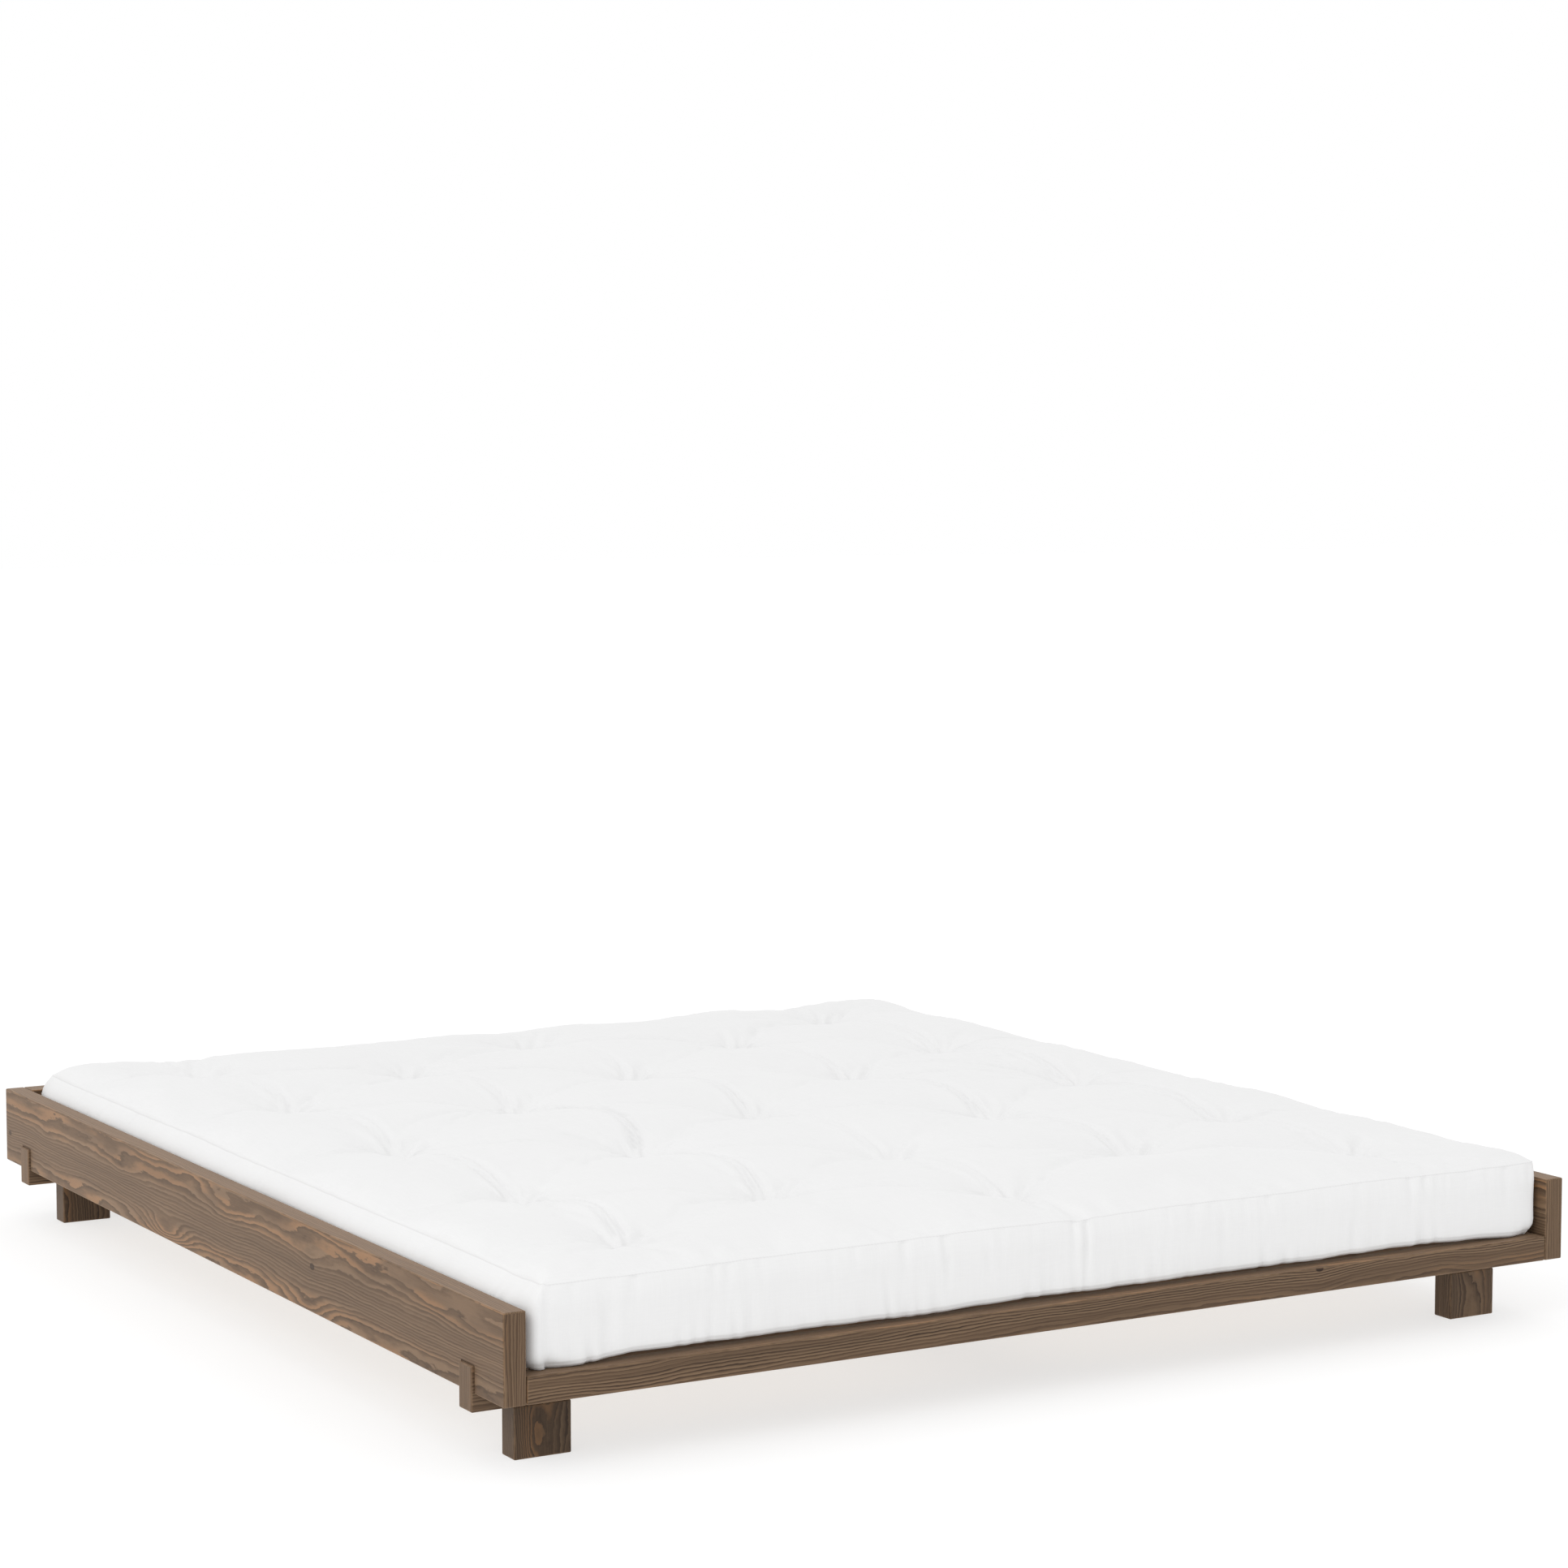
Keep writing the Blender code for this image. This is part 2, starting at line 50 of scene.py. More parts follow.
# ------------------------------------------------------------------- shader helpers
class Graph:
    """Adds shader nodes to a tree and links them."""

    def __init__(self, tree):
        self.tree = tree

    def feed(self, socket, value):
        if isinstance(value, bpy.types.NodeSocket):
            self.tree.links.new(value, socket)
        else:
            socket.default_value = value

    def add(self, kind, inputs=(), **settings):
        node = self.tree.nodes.new("ShaderNode" + kind)
        for name, value in settings.items():
            setattr(node, name, value)
        for key, value in dict(inputs).items():
            self.feed(node.inputs[key], value)
        return node

    def math(self, operation, *values):
        node = self.add("Math", operation=operation)
        for socket, value in zip(node.inputs, values):
            self.feed(socket, value)
        return node.outputs[0]

    def total(self, *values):
        result = values[0]
        for value in values[1:]:
            result = self.math("ADD", result, value)
        return result

    def times(self, *values):
        result = values[0]
        for value in values[1:]:
            result = self.math("MULTIPLY", result, value)
        return result

    def mix(self, factor, a, b):
        node = self.add("Mix", data_type="FLOAT", clamp_factor=True)
        for index, value in ((0, factor), (2, a), (3, b)):
            self.feed(node.inputs[index], value)
        return node.outputs[0]

    def blend(self, factor, a, b, mode="MIX"):
        node = self.add("Mix", data_type="RGBA", blend_type=mode, clamp_factor=True)
        for index, value in ((0, factor), (6, a), (7, b)):
            self.feed(node.inputs[index], value)
        return node.outputs[2]

    def step(self, value, low, high):
        """0 below low, 1 above high, smooth between."""
        node = self.add("MapRange", interpolation_type="SMOOTHSTEP")
        for key, item in (("Value", value), ("From Min", low), ("From Max", high)):
            self.feed(node.inputs[key], item)
        return node.outputs[0]

    def split(self, vector):
        return self.add("SeparateXYZ", {0: vector}).outputs

    def join(self, x, y, z):
        return self.add("CombineXYZ", {0: x, 1: y, 2: z}).outputs[0]

    def noise(self, vector, scale, detail=2.0, roughness=0.5):
        values = {
            "Vector": vector, "Scale": scale, "Detail": detail, "Roughness": roughness
        }
        return self.add("TexNoise", values).outputs["Fac"]

    def bump(self, height, distance, strength):
        values = {"Height": height, "Distance": distance, "Strength": strength}
        return self.add("Bump", values).outputs["Normal"]


def srgb(red, green, blue):
    """An 8-bit screen colour as the linear colour that a shader takes."""
    linear = []
    for value in (red / 255, green / 255, blue / 255):
        low = value / 12.92
        high = ((value + 0.055) / 1.055) ** 2.4
        linear.append(low if value <= 0.04045 else high)
    return (*linear, 1.0)


def new_material(name):
    material = bpy.data.materials.new(name)
    material.use_nodes = True
    tree = material.node_tree
    tree.nodes.clear()
    graph = Graph(tree)
    shader = graph.add("BsdfPrincipled")
    output = graph.add("OutputMaterial")
    tree.links.new(shader.outputs["BSDF"], output.inputs["Surface"])
    return material, graph, shader


# ------------------------------------------------------------------------ pine boards
RING_WAVE = 0.111          # along the width, from one wide figure to the next
RING_MEAN = 128.0          # rings per metre
RING_SWING = 97.0          # how far that drops in the wide figure, and rises between
EYE_LENGTH, EYE_HEIGHT = 0.105, 0.023
KNOT_ROUNDNESS = 0.62      # a knot's height over its length
EDGE_WEAR_AND_HIGHLIGHT = (0.0004, 0.0030)   # from an edge, where the lighter edge (rubbed stain and painted highlight) is full and where it ends

STAINED = {
    "dark": srgb(86, 66, 49),
    "mid": srgb(110, 88, 68),
    "late": srgb(146, 109, 76),
    "line": srgb(58, 43, 32),
    "pale": srgb(132, 108, 84),
    "knot": srgb(34, 20, 13),
    # the lighter edge colour: rubbed stain and painted highlight
    "worn_highlight": srgb(138, 112, 86),
}
RAW = {
    "dark": srgb(208, 172, 122),
    "mid": srgb(226, 196, 150),
    "late": srgb(190, 138, 84),
    "line": srgb(176, 126, 78),
    "pale": srgb(236, 212, 170),
    "knot": srgb(112, 66, 38),
    # the lighter edge colour: rubbed stain and painted highlight
    "worn_highlight": srgb(240, 220, 184),
}


def eye_rise(g, u, across, eye):
    """The rings that one eye adds: a rise in the field, which shows as nested ovals."""
    eye_u, eye_v, rise_rings = g.split(eye)[:3]
    du = g.times(g.math("SUBTRACT", u, eye_u), 1 / EYE_LENGTH)
    dv = g.times(g.math("SUBTRACT", across, eye_v), 1 / EYE_HEIGHT)
    hill = g.math("EXPONENT", g.times(g.total(g.times(du, du), g.times(dv, dv)), -1.0))
    return g.times(hill, rise_rings)


def knot_parts(g, u, across, knot):
    """Whether a point is inside one knot, and how many rings the knot moves there."""
    knot_u, knot_v, knot_size = g.split(knot)[:3]
    du = g.times(g.math("SUBTRACT", u, knot_u), KNOT_ROUNDNESS)
    dv = g.math("SUBTRACT", across, knot_v)
    far = g.math("SQRT", g.total(g.times(du, du), g.times(dv, dv)))
    ratio = g.math("DIVIDE", far, knot_size)
    inside = g.math("SUBTRACT", 1.0, g.step(ratio, 0.75, 1.05))
    pull = g.math("EXPONENT", g.times(ratio, ratio, -0.028))
    return inside, g.times(pull, g.total(1.1, g.times(dv, -22.0)))


def ring_field(g, u, v, slice_z, curl, moved):
    """Rings counted across the grain, and how wide the figure is, from 0 to 1. moved is
    how many rings the knots and eyes add."""
    phase = g.times(v, 2 * math.pi / RING_WAVE)
    swing = g.times(g.math("SINE", phase), RING_SWING * RING_WAVE / (2 * math.pi))
    even = g.math("SUBTRACT", g.times(v, RING_MEAN), swing)
    figure = g.total(0.5, g.times(g.math("COSINE", phase), 0.5))
    rings = g.total(even, moved)
    # Waves along and across the grain per metre, the rings they move, and their detail.
    for along_rate, across_rate, amount, detail in (
        (3.2, 15.0, 5.0, 1.5), (9.0, 42.0, 1.25, 2.0),
        (26.0, 110.0, 0.60, 2.0), (70.0, 260.0, 0.26, 2.0),
    ):
        at = g.join(g.times(u, g.times(curl, along_rate)), g.times(v, across_rate), slice_z)
        wave = g.math("SUBTRACT", g.noise(at, 1.0, detail), 0.5)
        rings = g.total(rings, g.times(wave, amount))
    return rings, figure


def edge_wear_and_highlight(g, place, size):
    """How far the edges are painted lighter: stain rubbed off, and a painted highlight along
    the piece's rounded edges.
    """
    near = []
    for here, extent in zip(g.split(place)[:3], g.split(size)[:3]):
        gap = g.math("MINIMUM", here, g.math("SUBTRACT", extent, here))
        near.append(g.math("SUBTRACT", 1.0, g.step(gap, *EDGE_WEAR_AND_HIGHLIGHT)))
    edge = g.math("MAXIMUM", g.times(near[0], near[1]), g.times(near[1], near[2]))
    edge = g.math("MAXIMUM", edge, g.times(near[0], near[2]))
    rub = g.noise(place, 60.0, 3.0)
    return g.times(edge, g.step(rub, 0.25, 0.75), 0.55)


def pine_group(name, palette):
    """Flat-sawn pine seen on any face of a board whose grain runs along it.

    Place is measured from the board's low corner as (along, across, through). Rings are
    bands of one field over each face: wide figure near two lines of the width, and
    straight narrow grain between them. Knots and eyes push the field aside.
    """
    tree = bpy.data.node_groups.new(name, "ShaderNodeTree")
    for label, kind in (
        ("Place", "NodeSocketVector"), ("Size", "NodeSocketVector"),
        ("Facing", "NodeSocketVector"), ("Seed", "NodeSocketFloat"),
        ("Zone", "NodeSocketFloat"), ("Slope", "NodeSocketFloat"),
        ("Curl", "NodeSocketFloat"), ("Tone", "NodeSocketFloat"),
        ("Knot A", "NodeSocketVector"), ("Knot B", "NodeSocketVector"),
        ("Eye A", "NodeSocketVector"), ("Eye B", "NodeSocketVector"),
    ):
        tree.interface.new_socket(label, in_out="INPUT", socket_type=kind)
    for label, kind in (
        ("Color", "NodeSocketColor"), ("Roughness", "NodeSocketFloat"),
        ("Height", "NodeSocketFloat"),
    ):
        tree.interface.new_socket(label, in_out="OUTPUT", socket_type=kind)
    g = Graph(tree)
    given = tree.nodes.new("NodeGroupInput").outputs
    seed, curl = given["Seed"], given["Curl"]
    along, across, through = g.split(given["Place"])[:3]
    face_along, face_across, face_through = g.split(given["Facing"])[:3]

    # One flat coordinate pair for every face, with the grain along u.
    end = g.math("GREATER_THAN", g.math("ABSOLUTE", face_along), 0.7)
    narrow = g.math("GREATER_THAN", g.math("ABSOLUTE", face_across), 0.7)
    end_or_narrow = g.math("MAXIMUM", end, narrow)
    on_face = g.math("SUBTRACT", 1.0, end_or_narrow)
    other_side = g.total(
        g.times(g.math("GREATER_THAN", face_through, 0.0), 0.31),
        g.times(g.math("GREATER_THAN", face_across, 0.0), 0.17),
    )
    u = g.mix(end, along, across)
    wide_v = g.total(across, given["Zone"])
    side_v = g.total(g.times(through, 1.25), 0.022)
    v = g.total(g.mix(end_or_narrow, wide_v, side_v), g.times(u, given["Slope"]))
    slice_z = g.total(g.times(seed, 3.7), g.times(other_side, 9.0), g.times(end, 5.0))

    # The rings, moved by the knots and eyes of the wide faces.
    knot = 0.0
    moved = 0.0
    for label in ("Knot A", "Knot B"):
        inside, swirl = knot_parts(g, u, across, given[label])
        knot = g.math("MAXIMUM", knot, g.times(inside, on_face))
        moved = g.total(moved, g.times(swirl, on_face))
    for label in ("Eye A", "Eye B"):
        moved = g.total(moved, g.times(eye_rise(g, u, across, given[label]), on_face))
    rings, figure = ring_field(g, u, v, slice_z, curl, moved)
    share = g.math("FRACT", rings)
    which = g.add("TexWhiteNoise", {"W": g.total(g.math("FLOOR", rings), seed)},
                  noise_dimensions="1D").outputs["Value"]

    # One ring: late wood that fades out across it, then a thin dark line.
    fade = g.math("SUBTRACT", 1.0, g.step(share, 0.15, 0.75))
    late = g.times(g.step(share, 0.0, 0.07), fade)
    sharper = g.math("SUBTRACT", share, g.times(figure, 0.20))
    line = g.times(g.step(sharper, 0.60, 0.80),
                   g.math("SUBTRACT", 1.0, g.step(share, 0.95, 1.0)))
    patch = g.noise(g.join(g.times(u, curl, 3.4), g.times(v, 20.0), slice_z), 1.0, 2.0)
    patch = g.step(patch, 0.42, 0.54)

    # Thin grain: threads that follow the rings, and finer straight fibre.
    thread = g.noise(g.join(g.times(u, 3.0), g.times(rings, 1.6), slice_z), 1.0, 3.0, 0.6)
    fibre = g.noise(g.join(g.times(u, 7.0), g.times(v, 800.0), slice_z), 1.0, 3.0, 0.65)
    tone = g.noise(g.join(g.times(u, 2.5), g.times(v, 26.0), slice_z), 1.0, 3.0)
    broken = g.noise(g.join(g.times(u, 9.0), g.times(v, 130.0), slice_z), 1.0, 2.0)
    broken = g.step(broken, 0.30, 0.68)

    mixed = g.step(g.total(g.times(thread, 0.55), g.times(fibre, 0.45)), 0.38, 0.64)
    colour = g.blend(mixed, palette["dark"], palette["mid"])
    faint = g.times(late, g.total(0.20, g.times(which, 0.65)))
    colour = g.blend(faint, colour, palette["pale"])
    strength = g.times(late, g.step(figure, 0.25, 0.85),
                       g.total(0.10, g.times(patch, 0.90)))
    colour = g.blend(strength, colour, palette["late"])
    weight = g.total(0.30, g.times(which, which, 0.75), g.times(figure, -0.06))
    weight = g.times(weight, g.total(1.0, g.times(end_or_narrow, -0.35)))
    line_mix = g.times(line, weight, g.total(0.50, g.times(broken, 0.50)))
    colour = g.blend(line_mix, colour, palette["line"])
    # Tone is the piece's lightness, which for the legs holds painted shade, times a random
    # tone.
    light = g.times(given["Tone"], g.total(0.64, g.times(tone, 0.60)))
    colour = g.blend(1.0, colour, g.join(light, light, light), "MULTIPLY")
    colour = g.blend(g.times(knot, 0.95), colour, palette["knot"])
    # Painted highlight and rubbed stain: the edges are blended towards a lighter colour.
    colour = g.blend(edge_wear_and_highlight(g, given["Place"], given["Size"]), colour, palette["worn_highlight"])

    rough = g.total(0.48, g.times(fibre, 0.16), g.times(late, -0.06))
    height = g.total(
        g.times(mixed, 0.5), g.times(late, 0.35), g.times(line, -0.25), g.times(knot, 0.4)
    )
    given_out = tree.nodes.new("NodeGroupOutput")
    for label, value in (("Color", colour), ("Roughness", rough), ("Height", height)):
        tree.links.new(value, given_out.inputs[label])
    return tree


NO_KNOT = (9.0, 9.0, 0.001)
NO_EYE = (9.0, 9.0, 0.0)
# Eyes of figure, as (along, across, rings).
EYES = {
    "side_board_left": ((1.253, 0.018, 3.9), (0.678, 0.012, 2.7)),
    "side_board_right": ((0.880, 0.024, 4.0), (1.700, 0.016, 3.4)),
    "head_board": ((0.950, 0.018, 3.6), (1.480, 0.104, 2.8)),
    "leg_foot_left": ((0.052, 0.030, 4.4), (0.012, 0.070, 3.0)),
}
# How far the rings slope, how much they curl, and how light the piece is. The legs' blocks
# are darker than the boards as painted shade for their place under the bed, and the two left
# legs are darker still.
BOARD = dict(slope=0.0, curl=1.0, tone=0.90)
RAIL = dict(slope=-0.014, curl=1.1, tone=0.87)
SHADED_BLOCK = dict(slope=0.03, curl=2.6, tone=0.70)
DEEPER_SHADED_BLOCK = dict(slope=0.03, curl=2.6, tone=0.54)
# How the grain lies in each piece: the axes along, across and through it, where on the
# figure its wide face starts, its habit, and two knots as (along, across, radius).
GRAIN = {
    "side_board_left": ("YZX", 0.000, BOARD, (0.650, 0.070, 0.0058), (2.038, 0.052, 0.0050)),
    "side_board_right": ("YZX", 0.006, BOARD, (0.420, 0.061, 0.0070), (1.540, 0.083, 0.005)),
    "head_board": ("XZY", 0.004, BOARD, (0.520, 0.066, 0.0075), (1.300, 0.048, 0.0055)),
    "foot_rail": ("XZY", 0.037, RAIL, (1.346, 0.037, 0.0050), NO_KNOT),
    "cross_beam_foot": ("XZY", 0.030, BOARD, (1.100, 0.030, 0.0060), NO_KNOT),
    "cross_beam_head": ("XZY", 0.026, BOARD, (0.400, 0.040, 0.0060), NO_KNOT),
    # The legs' tones are painted shade.
    "leg_foot_left": ("ZXY", 0.072, DEEPER_SHADED_BLOCK, NO_KNOT, NO_KNOT),
    "leg_foot_right": ("ZXY", 0.066, SHADED_BLOCK, NO_KNOT, NO_KNOT),
    "leg_head_left": ("ZXY", 0.012, DEEPER_SHADED_BLOCK, NO_KNOT, NO_KNOT),
    "leg_head_right": ("ZXY", 0.060, SHADED_BLOCK, NO_KNOT, NO_KNOT),
    "midbeam_leg_foot": ("ZXY", 0.040, SHADED_BLOCK, NO_KNOT, NO_KNOT),
    "midbeam_leg_head": ("ZXY", 0.050, SHADED_BLOCK, NO_KNOT, NO_KNOT),
    "midbeam": ("YXZ", 0.020, BOARD, (0.800, 0.030, 0.0060), NO_KNOT),
    "ledge_left": ("YZX", 0.030, BOARD, NO_KNOT, NO_KNOT),
    "ledge_right": ("YZX", 0.034, BOARD, NO_KNOT, NO_KNOT),
}


def pine_material(node, group, grain, seed):
    axes, zone, habit, knot_a, knot_b = grain
    low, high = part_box(node)
    material, g, shader = new_material(node + "_pine")
    coords = g.add("TexCoord").outputs
    from_corner = g.add("VectorMath", operation="SUBTRACT")
    g.feed(from_corner.inputs[0], coords["Object"])
    from_corner.inputs[1].default_value = low
    place = g.split(from_corner.outputs[0])
    facing = g.split(coords["Normal"])
    order = ["XYZ".index(axis) for axis in axes]
    pine = g.add("Group", node_tree=group)
    g.feed(pine.inputs["Place"], g.join(*[place[index] for index in order]))
    g.feed(pine.inputs["Facing"], g.join(*[facing[index] for index in order]))
    pine.inputs["Size"].default_value = [(high - low)[index] for index in order]
    pine.inputs["Seed"].default_value = seed
    pine.inputs["Zone"].default_value = zone
    for label in ("slope", "curl", "tone"):
        pine.inputs[label.title()].default_value = habit[label]
    pine.inputs["Knot A"].default_value = knot_a
    pine.inputs["Knot B"].default_value = knot_b
    pine.inputs["Eye A"].default_value, pine.inputs["Eye B"].default_value = EYES.get(
        node, (NO_EYE, NO_EYE))
    g.feed(shader.inputs["Base Color"], pine.outputs["Color"])
    g.feed(shader.inputs["Roughness"], pine.outputs["Roughness"])
    g.feed(shader.inputs["Normal"], g.bump(pine.outputs["Height"], 0.0003, 0.4))
    shader.inputs["Specular IOR Level"].default_value = 0.20
    shader.inputs["Sheen Weight"].default_value = 0.33
    shader.inputs["Sheen Roughness"].default_value = 0.40
    shader.inputs["Sheen Tint"].default_value = (1.0, 0.70, 0.48, 1.0)
    return material


def paint(node, material):
    """Give a carried-over CAD node its finished material."""
    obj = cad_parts[node]
    obj.data.materials.clear()
    obj.data.materials.append(material)
    for polygon in obj.data.polygons:
        polygon.material_index = 0


def finish_wood():
    stained = pine_group("stained pine", STAINED)
    raw = pine_group("raw pine", RAW)
    for seed, (node, grain) in enumerate(GRAIN.items(), start=1):
        paint(node, pine_material(node, stained, grain, seed * 1.37))
    slats = sorted(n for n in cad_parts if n.startswith("slat_") and n[5:].isdigit())
    draw = np.random.default_rng(7)
    for number, node in enumerate(slats):
        zone = draw.uniform(0.0, 0.09)
        knot = (draw.uniform(0.1, 1.7), draw.uniform(0.01, 0.058), 0.006)
        other = (draw.uniform(0.1, 1.7), draw.uniform(0.01, 0.058), 0.004)
        grain = ("XYZ", zone, BOARD, knot, other)
        paint(node, pine_material(node, raw, grain, 20 + number * 1.9))


# --------------------------------------------------------------------- steel, webbing
def zinc_material():
    material, g, shader = new_material("zinc_plate")
    place = g.add("TexCoord").outputs["Object"]
    cloud = g.noise(place, 90.0, 4.0, 0.6)
    grit = g.noise(place, 1400.0, 2.0)
    colour = g.blend(cloud, srgb(150, 150, 146), srgb(196, 195, 188))
    g.feed(shader.inputs["Base Color"], colour)
    g.feed(shader.inputs["Roughness"], g.total(0.26, g.times(cloud, 0.22)))
    shader.inputs["Metallic"].default_value = 1.0
    g.feed(shader.inputs["Normal"], g.bump(grit, 0.0001, 0.4))
    return material


def webbing_material():
    """A flat woven strap, with ribs across it and cords along it."""
    material, g, shader = new_material("woven_strap")
    place = g.add("TexCoord").outputs["Object"]
    x, y, z = g.split(place)[:3]
    rib = g.math("SINE", g.times(y, 2 * math.pi / 0.0022))
    cord = g.math("SINE", g.times(x, 2 * math.pi / 0.0018))
    weave = g.times(rib, cord)
    dirt = g.noise(place, 40.0, 3.0)
    colour = g.blend(dirt, srgb(196, 190, 178), srgb(222, 217, 206))
    colour = g.blend(g.times(g.step(weave, -1.0, 1.0), 0.35), colour, srgb(150, 144, 132))
    g.feed(shader.inputs["Base Color"], colour)
    shader.inputs["Roughness"].default_value = 0.85
    shader.inputs["Sheen Weight"].default_value = 0.2
    g.feed(shader.inputs["Normal"], g.bump(weave, 0.0004, 0.8))
    return material


def finish_fittings():
    zinc = zinc_material()
    strap = webbing_material()
    steel_names = ("slat_screw", "bracket_screw", "beam_screw", "midbeam_screw",
                   "leg_bolt", "corner_bracket")
    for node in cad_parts:
        if node.startswith(steel_names):
            paint(node, zinc)
        elif node.startswith("slat_strap"):
            paint(node, strap)


# -------------------------------------------------------------------------- mattress
def cotton_material():
    """Undyed plain-weave cotton: slubby threads both ways over a soft, matt ground."""
    material, g, shader = new_material("tufted_cotton")
    place = g.add("TexCoord").outputs["Object"]
    x, y, z = g.split(place)[:3]
    warp = g.noise(g.join(g.times(x, 700.0), g.times(y, 25.0), g.times(z, 25.0)), 1.0, 2.0)
    weft = g.noise(g.join(g.times(x, 25.0), g.times(y, 700.0), g.times(z, 500.0)), 1.0, 2.0)
    slub = g.noise(g.join(g.times(x, 160.0), g.times(y, 22.0), g.times(z, 22.0)), 1.0, 3.0)
    cloud = g.noise(place, 5.0, 3.0)
    colour = g.blend(cloud, srgb(225, 225, 225), srgb(228, 228, 228))
    threads = g.total(g.times(warp, 0.4), g.times(weft, 0.4), g.times(slub, 0.2))
    colour = g.blend(g.times(g.step(threads, 0.35, 0.65), 0.12), colour, srgb(209, 208, 208))
    # Painted shade along the seams: the cotton darkens where the seam attribute is set, in a
    # stitch rhythm, for the shade in the seam groove and its stitch dimples.
    seam = g.add("Attribute", attribute_name="seam").outputs["Fac"]
    seam_shade = g.math("SINE", g.times(g.total(x, y, z), 2 * math.pi / 0.0055))
    seam_shade = g.times(g.step(seam, 0.35, 1.0), g.total(0.15, g.times(seam_shade, 0.06)))
    colour = g.blend(seam_shade, colour, srgb(150, 146, 146))
    g.feed(shader.inputs["Base Color"], colour)
    shader.inputs["Roughness"].default_value = 0.9
    shader.inputs["Sheen Weight"].default_value = 0.25
    shader.inputs["Sheen Roughness"].default_value = 0.5
    shader.inputs["Specular IOR Level"].default_value = 0.2
    g.feed(shader.inputs["Normal"], g.bump(threads, 0.0004, 0.15))
    return material


TUFT_COLUMNS = (-0.660, -0.335, -0.005, 0.330, 0.650)
OUTER_ROWS = (0.780, 0.360, -0.080, -0.510, -0.850)
INNER_ROWS = (0.580, 0.160, -0.290, -0.690)
TUFTS = [
    (x, y)
    for index, x in enumerate(TUFT_COLUMNS)
    for y in (OUTER_ROWS if index % 2 == 0 else INNER_ROWS)
]
SEAM_HEIGHT = 0.1185       # the top's seam, above the underside
SEAM_LEFT_INSET = 0.029    # and in from the widest point at the left,
SEAM_RIGHT_INSET = 0.006   # at the right,
SEAM_FRONT_INSET = 0.006   # at the foot
SEAM_BACK_INSET = 0.011    # and at the head
CORNER = 0.008             # radius of the seam's corners
EDGE_RISE, EDGE_REACH = 0.021, 0.014      # the top's rise from the seam, steep at first,
CROWN_RISE, CROWN_REACH = 0.012, 0.16     # and then slow
PUFF, PUFF_REACH = 0.0090, 0.05           # the rise that is left to the simulation
SEAM_DIP, SEAM_DIP_REACH = 0.0014, 0.0012

FINE_X, COARSE_X = 0.0040, 0.0115         # grid spacing near the folds and away from them
FINE_Y, COARSE_Y = 0.0042, 0.0135
FOLDED_X = (-0.024, 0.090)                # from a tuft column, where its folds lie
FOLDED_Y = (-0.016, 0.042)                # and from a tuft row
PANEL_STEP = 0.0058                       # the longest step round the side panels

SHEET_STEP = 0.010                        # the spacing of the simulated sheet
SHEET_FRAMES = 14
SEWN_RADIUS = 0.009                       # how much of it each tuft holds
MOST_ASIDE, MOST_DOWN, MOST_UP = 0.004, 0.008, 0.014     # limits to how far it moves


def smooth_noise(x, y, seed, size):
    """Smooth values from about -1 to 1 over the plane, from a few crossed waves."""
    draw = np.random.default_rng(seed)
    value = np.zeros_like(x)
    waves = 9
    for _ in range(waves):
        angle = draw.uniform(0, math.tau)
        wave = draw.uniform(0.7, 1.6) / size
        value += np.sin(
            (x * math.cos(angle) + y * math.sin(angle)) * wave * math.tau
            + draw.uniform(0, math.tau)
        )
    return value / (waves / 2)


def fold(x, y, start, end, depth, width, bow, hold, tail):
    """A creased groove that bows to one side. It is deep at its end, and holds a share of
    that depth along its middle (hold) and at its start (tail)."""
    (x0, y0), (x1, y1) = start, end
    length = math.hypot(x1 - x0, y1 - y0)
    ux, uy = (x1 - x0) / length, (y1 - y0) / length
    run = (x - x0) * ux + (y - y0) * uy
    t = np.clip(run / length, 0.0, 1.0)
    off = (x - x0) * -uy + (y - y0) * ux - bow * np.sin(math.pi * t ** 0.75)
    beyond = run - length * t
    strength = np.interp(t, (0.0, 0.2, 0.5, 0.80, 1.0), (tail, hold, 1.5 * hold, 1.0, 0.8))
    run_out, blunt = 0.008, 0.0012
    strength = depth * strength * np.exp(-(beyond / run_out) ** 2)
    valley = 0.55 * np.exp(-(np.sqrt(off ** 2 + blunt ** 2) - blunt) / width)
    valley += 0.45 * np.exp(-((off / (1.9 * width)) ** 2))
    swell = np.exp(-((np.abs(off) - 3.0 * width) / (1.8 * width)) ** 2)
    return strength * (0.12 * swell - valley)


# Folds from tuft to tuft as (column, from y, to y, depth in mm, sideways bow in mm). The
# depths here and below are before the creases run together, which makes them shallower.
COLUMN_FOLDS = (
    (0, 0.780, 0.360, 4, 35), (0, 0.360, -0.080, 5, 40), (0, -0.080, -0.510, 9, 32),
    (0, -0.510, -0.850, 8, 50),
    (1, 0.580, 0.160, 5, 40), (1, 0.160, -0.290, 10, 86), (1, -0.290, -0.690, 9, 58),
    (2, 0.780, 0.360, 3, 30), (2, 0.360, -0.080, 8, 45), (2, -0.080, -0.510, 3, 30),
    (2, -0.510, -0.850, 4, 25),
    (3, 0.580, 0.160, 5, 35), (3, 0.160, -0.290, 10, 46), (3, -0.290, -0.690, 7, 35),
    (4, 0.780, 0.360, 5, 30), (4, 0.360, -0.080, 9, 45), (4, -0.080, -0.510, 8, 35),
    (4, -0.510, -0.850, 5, 30),
)
# Each is a pair of strands: how far aside of the tuft, in mm, and the share of the depth.
STRANDS = ((9, 1.0), (-6, 0.7))
